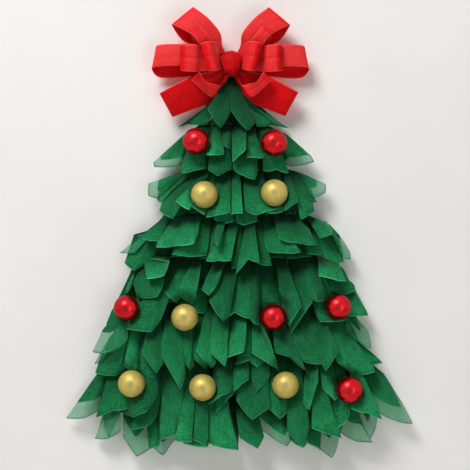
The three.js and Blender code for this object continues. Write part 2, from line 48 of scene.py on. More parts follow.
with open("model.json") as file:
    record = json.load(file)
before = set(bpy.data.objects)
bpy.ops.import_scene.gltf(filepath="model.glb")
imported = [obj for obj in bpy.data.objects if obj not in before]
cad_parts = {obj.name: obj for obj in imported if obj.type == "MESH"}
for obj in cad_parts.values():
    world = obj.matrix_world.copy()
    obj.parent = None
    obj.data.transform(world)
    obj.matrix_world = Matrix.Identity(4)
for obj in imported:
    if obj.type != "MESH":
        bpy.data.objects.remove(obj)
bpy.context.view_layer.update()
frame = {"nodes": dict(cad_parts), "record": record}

MM = 0.001
BODY = "tree"
BAUBLES = 12

# The view, 470 pixels square. A pixel is this wide at the wire frame's own plane.
VIEW_SIDE = 470
VIEW_MIDDLE = 235
PIXEL = 1.5 * MM
VIEW_X = 3 * MM
VIEW_Z = -265.5 * MM
CAMERA_DISTANCE = 3.2
SENSOR = 36


def spot(across, down, forward):
    """Where a pixel of the view lies, this far in front of the wire frame."""
    size = PIXEL * (CAMERA_DISTANCE - forward) / CAMERA_DISTANCE
    return Vector((
        VIEW_X + (across - VIEW_MIDDLE) * size,
        -forward,
        VIEW_Z - (down - VIEW_MIDDLE) * size,
    ))


# Folds of the tiers, left to right. Each is its top's left and right, its hem's corners from left
# to right, in pixels of the view, how far its hem stands out in millimetres, and how much of the
# sheer length is a single layer.
PEAK_FOLDS = [
    ((208, 105.5), (217.1, 97.6), [(178.4, 126.9), (187.3, 124.2), (208, 124.6)], 12, 0),
    ((217.1, 93), (230.2, 76.4), [(208, 110.1), (220.5, 128.2), (230.9, 110.4)], 30, 0),
    ((230.2, 76.4), (241.6, 93), [(230.9, 110.4), (247.3, 130.9), (254.7, 122.8)], 30, 0),
    (
        (243.2, 97.6), (253.1, 105.5),
        [(256.9, 126.9), (272.3, 124.6), (279.9, 126.9), (287.9, 127.9)], 12, 0,
    ),
]
TIER_1_FOLDS = [
    (
        (183.5, 135.1), (192.7, 131.2),
        [(153.3, 162.9), (154.4, 167), (177.4, 166.7), (185, 161.8)], 10, 0.45,
    ),
    ((186.5, 157.2), (204.9, 155.7), [(180.9, 173.2), (192.7, 171.3), (206.1, 168.3)], 26, 0),
    ((195.7, 131.2), (208, 130.5), [(189.6, 168), (208, 164.9)], 16, 0),
    ((215.6, 128.2), (222.5, 128.9), [(206, 154.8), (215.6, 155.1), (224, 154.3)], 42, 0),
    ((209.5, 155.7), (230.9, 155.7), [(208, 170.3), (217.6, 176.4), (232.9, 168)], 30, 0),
    ((222.8, 128.9), (230.2, 128.2), [(224, 145.6), (229.9, 148.7)], 44, 0),
    ((231.7, 128.2), (246.2, 128.9), [(232.5, 162.1), (238.6, 156), (245.9, 149.3)], 48, 0),
    (
        (233.4, 161.8), (256.9, 155.7),
        [(233.4, 169.2), (243.2, 175.6), (255.1, 179.4), (257.3, 169.5)], 32, 0,
    ),
    ((246.2, 131.2), (254.7, 131.2), [(246.7, 157.7), (255.4, 158), (264, 157.6)], 42, 0),
    ((263.1, 155.7), (283, 156.5), [(263.1, 171), (276.8, 169.5), (288.8, 173.2)], 26, 0),
    ((263.1, 130.5), (275.3, 131.2), [(263.1, 164.9), (283, 166.4)], 16, 0),
    (
        (279.9, 131.2), (287.6, 135.1),
        [(283, 161.8), (289.9, 166.4), (314.3, 161.8), (310.8, 155.7)], 10, 0.45,
    ),
]
TIER_2_FOLDS = [
    (
        (178.9, 172.9), (185, 175.6),
        [(148.7, 183.6), (148.3, 195.8), (156.7, 198.3), (162, 192.5)], 12, 0.5,
    ),
    ((181.9, 177.1), (192.7, 177.1), [(156.7, 200.1), (160.5, 202.9), (174.3, 192.5)], 18, 0),
    ((191.1, 177.1), (201.1, 175.6), [(159.3, 210.8), (173.1, 219.1), (178.9, 201.6)], 34, 0),
    ((201.8, 175.6), (208, 175.6), [(175.5, 201.3), (189.6, 210.5), (198, 192.5)], 42, 0),
    ((204.9, 175.6), (215.6, 177.1), [(186.5, 203.2), (204.4, 215.4), (211, 200.1)], 34, 0),
    ((215.6, 178.7), (232.5, 177.1), [(214.4, 219.2), (224, 223.8), (234.8, 221.2)], 24, 0),
    ((217.1, 177.1), (230.2, 178.7), [(206, 217.6), (217.1, 215.4), (230.2, 212.7)], 42, 0),
    ((232, 175.6), (240.1, 175.6), [(231.4, 214.8), (237, 213.3), (242.9, 213.6)], 44, 0),
    ((237, 180.2), (253.9, 177.1), [(235.5, 221.5), (243.9, 225.5), (257.3, 221.2)], 24, 0),
    ((243.2, 177.1), (261.5, 177.1), [(244.4, 209.6), (256.6, 215.4), (278.4, 208.5)], 40, 0),
    ((269.2, 177.1), (281.4, 177.1), [(267.7, 213.1), (283, 211.6)], 26, 0),
    ((284.5, 177.1), (290.6, 178.7), [(284.2, 210.8), (291.4, 206.2), (298.3, 201.6)], 42, 0),
    ((292.2, 177.1), (299.8, 178.7), [(300.3, 219.5), (307.5, 216.2), (314.7, 211.6)], 34, 0),
    ((298.3, 177.1), (304.4, 178.7), [(309, 200.1), (316.9, 202.9), (313.6, 195.5)], 18, 0),
    (
        (294.4, 172.3), (300.6, 172.9),
        [(307.5, 192.5), (313.6, 198.9), (325.4, 192.8), (325.4, 184)], 12, 0.5,
    ),
]
TIER_3_FOLDS = [
    ((160.5, 220), (167.4, 223.1), [(119.9, 252.9), (134.5, 252.6), (143.4, 239.6)], 10, 0.8),
    ((149.8, 232.3), (162, 232.3), [(124.5, 263.2), (134.2, 270.8), (154.4, 256)], 18, 0),
    ((162.8, 218.5), (169.7, 219.2), [(142.6, 238.8), (159, 241.1), (165.1, 232.3)], 32, 0),
    ((175.1, 218.5), (199.5, 220), [(156.4, 247.3), (175.8, 246), (194.2, 243.7), (198.8, 232.3)], 42, 0),
    ((201.8, 221.5), (211.3, 221.5), [(171.7, 254.6), (189.6, 257.1), (206.7, 255.8)], 36, 0),
    ((217.1, 223.1), (225.1, 221.5), [(215.3, 244.8), (217.9, 246.8), (222.5, 235.3)], 46, 0),
    ((211.8, 221.5), (217.9, 221.5), [(208, 253.7), (215.6, 252.9)], 26, 0),
    ((230.2, 224.6), (238.3, 224.6), [(206.1, 260.9), (218.7, 260.6), (230.9, 260.7)], 42, 0),
    ((238.3, 226.1), (245.9, 226.1), [(231.7, 269), (239.3, 267.5)], 28, 0),
    ((245.5, 224.6), (254.7, 225.4), [(235.8, 273.9), (248.5, 259.2), (259.7, 262.3)], 46, 0),
    ((254.7, 224.6), (263.1, 223.1), [(256.9, 263.2), (271.6, 265.5), (269.2, 256.7)], 34, 0),
    ((263.1, 221.5), (274.1, 220.8), [(265.8, 251.5), (283, 253.1), (300.9, 252.2)], 42, 0),
    (
        (274.1, 219.2), (300.6, 220.8),
        [(278.8, 238.4), (296.7, 243), (316.9, 244.8), (310.5, 232.3)], 44, 0,
    ),
    ((299.8, 221.5), (309, 221.5), [(307.5, 253.7), (324.3, 254)], 24, 0),
    ((308.2, 220), (324.3, 222.3), [(320.2, 238.4), (333, 234.1), (328.9, 226.1)], 32, 0),
    ((311, 226.1), (320, 226.1), [(324.3, 258.3), (339.6, 263.2), (344, 262.1)], 18, 0),
    (
        (324.3, 222), (328.9, 224),
        [(334.2, 240), (345, 259), (350.5, 259.5), (349.5, 251), (338, 233)], 12, 0.8,
    ),
]
TIER_4_FOLDS = [
    ((136, 262), (140, 264), [(123, 295), (128.5, 292), (137.5, 276)], 12, 0.8),
    ((133, 283), (163, 277), [(137.7, 298), (157, 297.2), (164, 280)], 34, 0),
    ((137, 290), (158, 296), [(137.5, 318.8), (152.4, 318), (157, 300)], 24, 0),
    ((143, 256), (170, 256), [(147, 279), (164, 275.8), (169, 262)], 42, 0),
    ((112, 310), (125, 306), [(106, 325), (128, 322)], 14, 0),
    ((165, 262), (184, 262), [(127, 329.4), (151, 332), (160.6, 320), (167, 300)], 38, 0),
    ((184, 262), (193, 264), [(164.5, 292), (177, 303), (186, 285)], 34, 0),
    ((194, 258), (202, 259), [(176.5, 293), (192.6, 304.5), (198.4, 282)], 43, 0),
    ((196, 268), (212, 268), [(184, 312), (206, 314)], 22, 0),
    ((212, 266), (223, 268), [(201.3, 289.4), (208.6, 295.4), (219, 280)], 38, 0),
    ((228, 262), (239, 262), [(209.3, 301), (223.6, 321.2), (229, 315.5)], 44, 0),
    ((239, 262), (250, 262), [(229.5, 316), (234.7, 312.6), (249.8, 318.8)], 41, 0),
    ((250.5, 262), (257, 266), [(250.2, 319.5), (258.8, 325.4), (261.6, 321)], 43, 0),
    ((258, 262), (276, 262), [(261, 318), (281, 318)], 24, 0),
    ((276, 262), (287, 264), [(282, 312), (289, 325.8), (301.8, 306)], 44, 0),
    ((289, 262), (303, 266), [(289, 337), (312.8, 301.4), (308, 290)], 35, 0),
    ((302, 258), (316, 260), [(309, 296), (318, 302), (327, 300)], 42, 0),
    ((306, 280), (326, 282), [(313.6, 306), (320.4, 322), (346, 320.2)], 32, 0),
    ((318, 258), (337, 259), [(319, 276), (332, 279), (346, 281)], 38, 0),
    ((320, 268), (343, 268), [(326, 291), (345, 294.5), (354.2, 291)], 26, 0),
    ((342, 280), (354, 284), [(348, 316), (368.2, 315.6), (358, 300)], 15, 0),
]
TIER_5_FOLDS = [
    ((103, 329), (128, 327), [(92.5, 352), (104, 354), (118, 349), (127.5, 340)], 30, 1),
    ((104, 348), (112, 350), [(94.5, 363.8), (107.3, 359)], 12, 0.6),
    ((121, 347), (132, 342), [(95.2, 373), (115.8, 376), (128, 366)], 22, 0),
    ((131, 322), (146, 324), [(124, 366), (140, 374)], 24, 0),
    ((149, 322), (162, 320), [(142.3, 353.5), (156.4, 373.2), (164.2, 362.4)], 40, 0),
    ((140, 345), (152, 345), [(141, 372), (153, 378), (158, 372)], 26, 0),
    ((166, 318), (180, 318), [(160, 352.9), (180.4, 389.2), (185, 372)], 42, 0),
    ((183, 320), (196, 320), [(178.9, 347.8), (190, 370.5), (194, 366)], 34, 0),
    ((198, 315), (206, 315), [(191.7, 356.6), (206.5, 371)], 36, 0),
    ((205, 312), (215, 312), [(196.5, 350.4), (211.5, 368.6), (216, 362)], 40, 0),
    ((214, 312), (230, 314), [(208.3, 350.3), (224.8, 366.8), (227, 345)], 44, 0),
    ((232, 314), (246.5, 314), [(220, 360.8), (243.4, 352.3), (246, 335)], 43, 0),
    ((246.6, 318), (251.5, 318), [(236, 364.5), (250.3, 360.3)], 36, 0),
    ((252, 320), (262, 324), [(251.8, 353), (279, 370.4), (270.5, 342)], 43, 0),
    ((255, 330), (270, 330), [(250, 362), (268, 373)], 26, 0),
    ((272, 322), (287, 328), [(276, 353.4), (290, 357.4), (306.7, 371.3), (298, 352)], 40, 0),
    ((288, 320), (309, 316), [(294, 345), (303, 361.8), (323.8, 364.2), (318, 343)], 36, 0),
    ((309, 312), (321, 314), [(318, 352), (325.6, 371), (338.6, 350.6)], 43, 0),
    ((322, 318), (344, 322), [(337, 362), (354, 375.2), (374.8, 372)], 32, 0),
    ((328, 320), (338, 325), [(368, 367), (382.8, 363), (360, 343)], 22, 0),
    ((346, 314), (357, 316), [(346.3, 333), (370.5, 349.2), (367, 329.8), (356, 325.8)], 20, 0.9),
]
TIER_6_FOLDS = [
    ((97, 374), (116, 376), [(66, 418.4), (84.2, 418.3), (101.4, 408.6)], 10, 0.9),
    ((108, 374), (128, 378), [(96.3, 417.4), (112.5, 410.5), (128.5, 408.5)], 30, 0),
    ((108, 396), (124, 396), [(103, 412), (108.5, 437.8), (121, 431), (120, 410)], 14, 0.9),
    ((104, 412), (114, 414), [(95.2, 438.6), (109, 438.6)], 10, 0.9),
    ((129, 378), (158, 376), [(133, 417.4), (146, 412.6), (157, 396)], 36, 0),
    ((148, 385), (164, 385), [(130, 430), (146, 427), (158, 414)], 26, 0),
    ((163, 380), (187, 380), [(160, 440), (176, 434), (185, 405)], 32, 0),
    ((187, 384), (197, 384), [(175.2, 441), (183, 441.8), (191.4, 441.8)], 42, 0),
    ((197.5, 384), (208, 384), [(193.6, 440.2), (201, 443.6), (208.2, 446.8)], 42, 0),
    ((209, 384), (226, 386), [(209, 443.6), (238.8, 450.4), (232, 430)], 34, 0),
    ((215, 362), (233.5, 362), [(208.4, 403.8), (221, 396), (233.5, 387.8)], 44, 0),
    ((222, 372), (241, 374), [(214, 415), (225, 402), (237, 390.5)], 34, 0),
    ((234, 358), (249, 360), [(233.6, 391), (241, 385), (249, 379.6)], 42, 0),
    ((240, 370), (268, 372), [(236.4, 400), (252.4, 420), (270, 408), (269, 390)], 38, 0),
    ((250, 358), (269, 360), [(251.8, 380), (256.2, 392), (270, 376)], 32, 0),
    ((270, 384), (287, 384), [(268, 408), (279.8, 418.8), (288, 410)], 34, 0),
    ((286, 380), (303, 382), [(287.6, 432), (301.8, 447.2), (309.4, 426)], 38, 0),
    ((306, 356), (318, 358), [(303, 402), (309.4, 410), (317.6, 382)], 42, 0),
    ((319, 358), (332, 360), [(322, 388), (335, 400.5), (340, 396)], 34, 0),
    ((313, 378), (326, 380), [(311.6, 428.2), (341.6, 438.4), (330, 408)], 42, 0),
    ((328, 384), (346, 386), [(334, 429), (344, 424), (350, 410)], 26, 0),
    ((338, 398), (356, 398), [(340, 432), (358, 441.8), (372.4, 442.6), (360.6, 423.6)], 12, 0.9),
    ((350, 376), (366, 380), [(351.2, 408.8), (368, 413), (382, 419.2)], 40, 0),
    ((354, 398), (372, 404), [(356, 414), (370.2, 439.4), (377, 420)], 14, 0.8),
    ((364, 370), (384, 374), [(379.4, 412.8), (398.6, 421.8), (412.8, 423.6), (402.6, 403.8)], 12, 0.9),
]
TIER_7_FOLDS = [
    ((123, 416), (147, 416), [(123, 436.2), (136.6, 456.6), (149.8, 448.8), (147.4, 430)], 10, 0.9),
    ((147, 414), (162, 414), [(149, 449), (160, 444.6)], 18, 0),
    ((155, 414), (176, 414), [(153.8, 447.4), (162.8, 455.4), (168, 449), (174, 441)], 12, 0.6),
    ((178, 412), (206, 412), [(184, 444), (207, 447.6)], 16, 0),
    ((214, 400), (234, 402), [(213, 446), (237.8, 450.4)], 26, 0),
    ((234, 400), (256, 404), [(240, 438), (257.6, 448.8), (264, 436.8)], 32, 0),
    ((260, 404), (280, 406), [(254.4, 424.4), (270, 436), (287, 446.2), (291, 440)], 26, 0.5),
    ((284, 404), (306, 406), [(290, 440), (303.6, 448.2), (309, 438)], 18, 0),
    ((304, 408), (322, 410), [(304, 442), (320, 449.4)], 12, 0),
    ((318, 412), (340, 414), [(319.6, 448.6), (332, 458.2), (338.8, 437)], 10, 0.9),
]

# Each tier: its node, the wire it is gathered on, its folds, and the pixel row that the plain
# stretch behind its folds hangs down to.
CLOTH_TIERS = [
    ("peak_cap", "outline_wire", PEAK_FOLDS, 124),
    ("tier_1", "cross_bar_1", TIER_1_FOLDS, 170),
    ("tier_2", "cross_bar_2", TIER_2_FOLDS, 214),
    ("tier_3", "cross_bar_3", TIER_3_FOLDS, 258),
    ("tier_4", "cross_bar_4", TIER_4_FOLDS, 304),
    ("tier_5", "cross_bar_5", TIER_5_FOLDS, 350),
    ("tier_6", "cross_bar_6", TIER_6_FOLDS, 396),
    ("tier_7", "outline_wire", TIER_7_FOLDS, 412),
]

# Ribbon of the bow's left half. Each station is the upper and the lower edge in pixels of the
# view, and how far out the two edges lie in millimetres, from the knot along the front to the
# loop's end and back to the knot along the rear.
LARGE_LEVEL = [
    (228, 57, 228, 67, 15, 15), (212, 51, 210, 69, 22, 22), (196, 44.6, 194, 67, 30, 28),
    (179.3, 43.9, 177.1, 65.6, 33, 31), (160.5, 44.6, 154.6, 67, 28, 26), (156, 47.6, 152.6, 71, 18, 18),
    (161, 53, 160.5, 77.6, 9, 9), (182, 54, 184.7, 77, 7, 7), (206, 56, 207, 73, 7, 7),
    (228, 58, 228, 67, 10, 10),
]
LARGE_UPPER = [
    (229, 58, 226, 67, 16, 18), (222.4, 46, 208, 57, 24, 28), (220.2, 33, 198.4, 45, 31, 35),
    (208.2, 18.2, 190.9, 34.2, 34, 38), (194.8, 8, 173.6, 25.2, 27, 31), (194, 8.6, 172.8, 27, 17, 19),
    (200, 20.6, 182.5, 40.4, 9, 11), (212, 37, 199, 48, 8, 9), (229, 58, 227, 66, 11, 12),
]
LARGE_LOWER = [
    (228, 64, 230, 72, 13, 11), (213, 70, 220, 94, 19, 9), (197, 74, 206, 104.6, 31, 11),
    (179, 82.4, 190, 110.5, 37, 16), (162, 91.8, 174.6, 116.4, 35, 17), (161.6, 92.6, 174.2, 115.8, 24, 9),
    (180, 84, 191, 108, 15, 7), (208, 73, 216, 90, 9, 6.5), (228, 64, 230, 72, 8, 7),
]
SMALL_LEVEL = [
    (229, 58, 229, 67, 18, 18), (213, 50, 212, 70, 26, 26), (202, 45.6, 201, 71.6, 36, 35),
    (195.6, 45, 194.6, 72, 46, 44), (186, 44.4, 185.5, 71.4, 48, 46), (181, 44.8, 181, 70.6, 41, 40),
    (183, 47, 183, 69.5, 34, 34), (205, 52, 205, 68, 22, 22), (229, 58, 229, 66, 16, 16),
]
SMALL_UPPER = [
    (228, 57, 225, 64, 19, 20), (219, 48, 208, 55.5, 30, 32), (210.6, 38.4, 199.6, 43.6, 47, 50),
    (200.8, 26.8, 191.6, 34, 48, 52), (200.4, 27.4, 191.2, 35.4, 40, 43), (212, 42.6, 200, 49.4, 26, 28),
    (229, 58, 226, 65, 17, 17),
]
SMALL_LOWER = [
    (229, 66, 228, 72, 15, 14), (222.3, 84, 214.4, 95.6, 24, 25), (213, 83.6, 205.4, 93.2, 31, 35),
    (206, 81.3, 199.8, 88, 38, 44), (199.7, 72.6, 191.9, 80.4, 46, 49), (200.6, 73.6, 192.6, 81, 37, 39),
    (212, 72, 206, 80, 22, 22), (229, 66, 228, 72, 13, 13),
]
INNER_LEVEL = [
    (229, 58, 229, 66, 17, 17), (222, 49.6, 223.4, 68, 22, 22), (216.6, 42.6, 220.4, 69, 40, 38),
    (211.6, 41, 217.4, 70, 55, 52), (205, 41.6, 212.4, 71, 58, 54), (200.4, 43.8, 207.8, 71, 52, 49),
    (203.5, 46, 210, 69, 42, 40), (216, 51, 218, 68, 24, 24), (229, 58, 229, 66, 15, 15),
]
BOW_MIDDLE = 231.4
KNOT_LEFT, KNOT_RIGHT, KNOT_TOP, KNOT_BOTTOM = 220.6, 242, 50, 74.6

# How each length of ribbon makes its loops: stations, side, how much wider and lower than the
# mirror image the right one grows, in pixels, how deep the crease along its middle is, and how
# much painted light makes its front paler.
BOW_RINGS = [
    ("large_loops_1", [(LARGE_LEVEL, -1, 0, 0, 0, 0.38), (LARGE_LEVEL, 1, -2, 0.5, 0, 0.38)]),
    ("large_loops_2", [(LARGE_UPPER, -1, 0, 0, 0, 0.29), (LARGE_LOWER, 1, -5, -1, 0, 0)]),
    ("large_loops_3", [(LARGE_LOWER, -1, 0, 0, 0, 0), (LARGE_UPPER, 1, -1, 0.5, 0, 0.29)]),
    ("small_loops_1", [
        (SMALL_LEVEL, -1, 0, 0, 2 * MM, 0.26), (SMALL_LEVEL, 1, 0, 0, 2 * MM, 0.26),
        (INNER_LEVEL, -1, 0, 0, 1.6 * MM, 0.18), (INNER_LEVEL, 1, 0, 0, 1.6 * MM, 0.18),
    ]),
    ("small_loops_2", [(SMALL_UPPER, -1, 0, 0, 1 * MM, 0.2), (SMALL_LOWER, 1, 0, 0, 1 * MM, 0.2)]),
    ("small_loops_3", [(SMALL_LOWER, -1, 0, 0, 1 * MM, 0.2), (SMALL_UPPER, 1, 0, 0, 1 * MM, 0.2)]),
]


class ClothSettings(bpy.types.PropertyGroup):
    """Colours, sizes and folds of the green cloth"""

    colour: FloatVectorProperty(
        name="Colour", description="Colour of the folded cloth", subtype="COLOR",
        size=3, min=0, max=1, default=(0.009, 0.165, 0.054),
    )
    # The hem colour is also what a single layer is made paler towards, as painted light.
    hem_and_painted_light_colour: FloatVectorProperty(
        name="Hem Colour", description="Colour of the woven hem line", subtype="COLOR",
        size=3, min=0, max=1, default=(0.06, 0.42, 0.20),
    )
    thickness: FloatProperty(
        name="Thickness", description="Thickness of the cloth", unit="LENGTH", default=0.6 * MM,
    )
    thread_pitch: FloatProperty(
        name="Thread Pitch", description="Distance from thread to thread", unit="LENGTH",
        default=1.3 * MM,
    )
    hem_width: FloatProperty(
        name="Hem Width", description="Width of the dense line along the hem", unit="LENGTH",
        default=1.7 * MM,
    )
    hem_bulge: FloatProperty(
        name="Hem Bulge", description="How far a fold's ridge stands out", unit="LENGTH", default=9 * MM,
    )
    sheer_length: FloatProperty(
        name="Sheer Length", description="How far up from the hem a single layer shows", unit="LENGTH",
        default=34 * MM,
    )
    depth: FloatProperty(
        name="Depth", description="Scale of how far the fuller hems stand out", default=1.42,
    )
    wrinkle: FloatProperty(
        name="Wrinkle", description="Height of the small wrinkles", unit="LENGTH", default=1 * MM,
    )
    seed: IntProperty(name="Seed", description="Seed of the folds' small differences", default=11)


class BowSettings(bpy.types.PropertyGroup):
    """Colours and sizes of the red ribbon"""

    colour: FloatVectorProperty(
        name="Colour", description="Colour of the ribbon", subtype="COLOR",
        size=3, min=0, max=1, default=(0.68, 0.003, 0.005),
    )
    # The edge colour is also what a loop's front is made paler towards, as painted light.
    edge_and_painted_light_colour: FloatVectorProperty(
        name="Edge Colour", description="Colour of the wired edges", subtype="COLOR",
        size=3, min=0, max=1, default=(0.92, 0.09, 0.09),
    )
    thickness: FloatProperty(
        name="Thickness", description="Thickness of the ribbon", unit="LENGTH", default=0.5 * MM,
    )
    thread_pitch: FloatProperty(
        name="Thread Pitch", description="Distance from thread to thread", unit="LENGTH",
        default=0.9 * MM,
    )
    large_width: FloatProperty(
        name="Large Loop Width", description="Width of the large loops' ribbon", unit="LENGTH",
        default=46 * MM,
    )
    swell: FloatProperty(
        name="Swell", description="How far a loop's middle swells out", unit="LENGTH", default=2 * MM,
    )
    small_width: FloatProperty(
        name="Small Loop Width", description="Width of the small loops' ribbon", unit="LENGTH",
        default=42 * MM,
    )


class BaubleSettings(bpy.types.PropertyGroup):
    """Colours and details of the baubles and their caps"""

    red: FloatVectorProperty(
        name="Red", description="Colour of the glossy baubles", subtype="COLOR",
        size=3, min=0, max=1, default=(0.60, 0.004, 0.008),
    )
    gold: FloatVectorProperty(
        name="Gold", description="Colour of the satin baubles", subtype="COLOR",
        size=3, min=0, max=1, default=(0.54, 0.42, 0.10),
    )
    cap_colour: FloatVectorProperty(
        name="Cap Colour", description="Colour of the caps and rings", subtype="COLOR",
        size=3, min=0, max=1, default=(0.70, 0.52, 0.24),
    )
    # The dimple's radius also sets how far the painted dark reflection at the front spreads.
    dimple: FloatProperty(
        name="Dimple", description="Radius of the moulded mark at the bauble's end", unit="LENGTH",
        default=4.6 * MM,
    )
    crimps: IntProperty(name="Crimps", description="Number of crimps round a cap's skirt", default=16)


class WireSettings(bpy.types.PropertyGroup):
    """Colour of the wires"""

    colour: FloatVectorProperty(
        name="Colour", description="Colour of the wires' enamel", subtype="COLOR",
        size=3, min=0, max=1, default=(0.010, 0.080, 0.032),
    )


class StageSettings(bpy.types.PropertyGroup):
    """Places of the wall and floor, and strengths of the lights"""

    wall_gap: FloatProperty(
        name="Wall Gap", description="From the wire frame's middle to the wall", unit="LENGTH",
        default=7 * MM,
    )
    floor_height: FloatProperty(
        name="Floor Height", description="Height of the floor", unit="LENGTH", default=-1.15,
    )
    key: FloatProperty(
        name="Key Light", description="Power of the main light", unit="POWER", default=72,
    )
    fill: FloatProperty(
        name="Fill Light", description="Power of the weaker light", unit="POWER", default=12,
    )
    back: FloatProperty(
        name="Back Light", description="Power of the light behind", unit="POWER", default=34,
    )
    world: FloatProperty(name="World", description="Strength of the light all round", default=0.09)


def settings(name):
    return getattr(bpy.context.scene, name)


# Meshes and objects


def smooth(mesh):
    mesh.polygons.foreach_set("use_smooth", [True] * len(mesh.polygons))


def link(name, mesh):
    piece = bpy.data.objects.new(name, mesh)
    bpy.context.scene.collection.objects.link(piece)
    return piece


def bake(piece):
    """Applies a piece's modifiers to its mesh."""
    bpy.context.view_layer.update()
    graph = bpy.context.evaluated_depsgraph_get()
    mesh = bpy.data.meshes.new_from_object(
        piece.evaluated_get(graph), preserve_all_data_layers=True, depsgraph=graph,
    )
    piece.modifiers.clear()
    old = piece.data
    piece.data = mesh
    mesh.name = piece.name
    bpy.data.meshes.remove(old)


def thicken(piece, thickness):
    """Gives a sheet its thickness, half to each side."""
    shell = piece.modifiers.new("Thickness", "SOLIDIFY")
    shell.thickness = thickness
    shell.offset = 0
    shell.use_even_offset = False
    shell.use_rim = True
    bake(piece)


def belong(piece, body, nodes):
    """Says which body a piece rides on, which nodes it stands for."""
    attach(piece, body)
    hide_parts(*nodes)


# Finishes

# Weave: scales of its noises for each metre, how round a thread is, and how its parts share the tone.
WOBBLE_SCALE = 160
THREAD_ROUND = 0.7
GAP_SHARPNESS = 5
SLUB_SCALES = ((60, 900, 1), (900, 60, 1))
SPECK_SCALE = 560
GRAIN_MIDDLE = 1.5
GRAIN_CONTRAST = 2
HEIGHT_TONE = 0.4
LINE_SHARPNESS = 3

# Cloth: how much the threads change its tone, how light its hem is, and how a single layer looks,
# with painted light that makes it paler.
THREAD_CONTRAST = 0.9
THREAD_DARK = 0.32
HEM_LIGHT = 0.8
SINGLE_HEM_LOSS = 0.65
SINGLE_SHARPNESS = 700
SINGLE_PAINTED_LIGHT = 0.55
SINGLE_CLEAR = 0.56
LAYERS_CLOSED = 0.86

# Ribbon: how much the threads change its tone, and how light and wide its wired edges are.
RIBBON_CONTRAST = 0.3
RIBBON_DARK = 0.8
RIBBON_EDGE_LIGHT = 0.6
RIBBON_EDGE_WIDTH = 1.6 * MM

# Baubles: the colour of the dark reflection painted over the moulded dimple at the front end, and how
# strong it is.
RED_PAINTED_REFLECTION = (0.16, 0.001, 0.002, 1)
RED_REFLECTION_SHARE = 0.6
GOLD_PAINTED_REFLECTION = (0.30, 0.27, 0.13, 1)
GOLD_REFLECTION_SHARE = 0.7


class NodeSheet:
    """A node tree that is filled from left to right."""

    def __init__(self, tree):
        self.tree = tree

    def add(self, kind, inputs=None, **values):
        node = self.tree.nodes.new(kind)
        for key, value in values.items():
            setattr(node, key, value)
        for key, value in (inputs or {}).items():
            self.feed(node.inputs[key], value)
        return node

    def feed(self, socket, value):
        if isinstance(value, bpy.types.NodeSocket):
            self.tree.links.new(value, socket)
        else:
            socket.default_value = value

    def math(self, operation, *values, clamp=False):
        node = self.add("ShaderNodeMath", operation=operation, use_clamp=clamp)
        for index, value in enumerate(values):
            self.feed(node.inputs[index], value)
        return node.outputs[0]

    def mix(self, factor, first, second):
        node = self.add("ShaderNodeMix", data_type="RGBA")
        self.feed(node.inputs[0], factor)
        self.feed(node.inputs[6], first)
        self.feed(node.inputs[7], second)
        return node.outputs[2]

    def group(self, tree, inputs):
        node = self.add("ShaderNodeGroup", node_tree=tree)
        for key, value in inputs.items():
            self.feed(node.inputs[key], value)
        return node.outputs


def new_group(name, inputs, outputs):
    tree = bpy.data.node_groups.new(name, "ShaderNodeTree")
    for label, kind, default in inputs:
        socket = tree.interface.new_socket(label, in_out="INPUT", socket_type=kind)
        if default is not None:
            socket.default_value = default
    for label, kind in outputs:
        tree.interface.new_socket(label, in_out="OUTPUT", socket_type=kind)
    sheet = NodeSheet(tree)
    start = sheet.add("NodeGroupInput").outputs
    end = sheet.add("NodeGroupOutput").inputs
    return tree, sheet, start, end


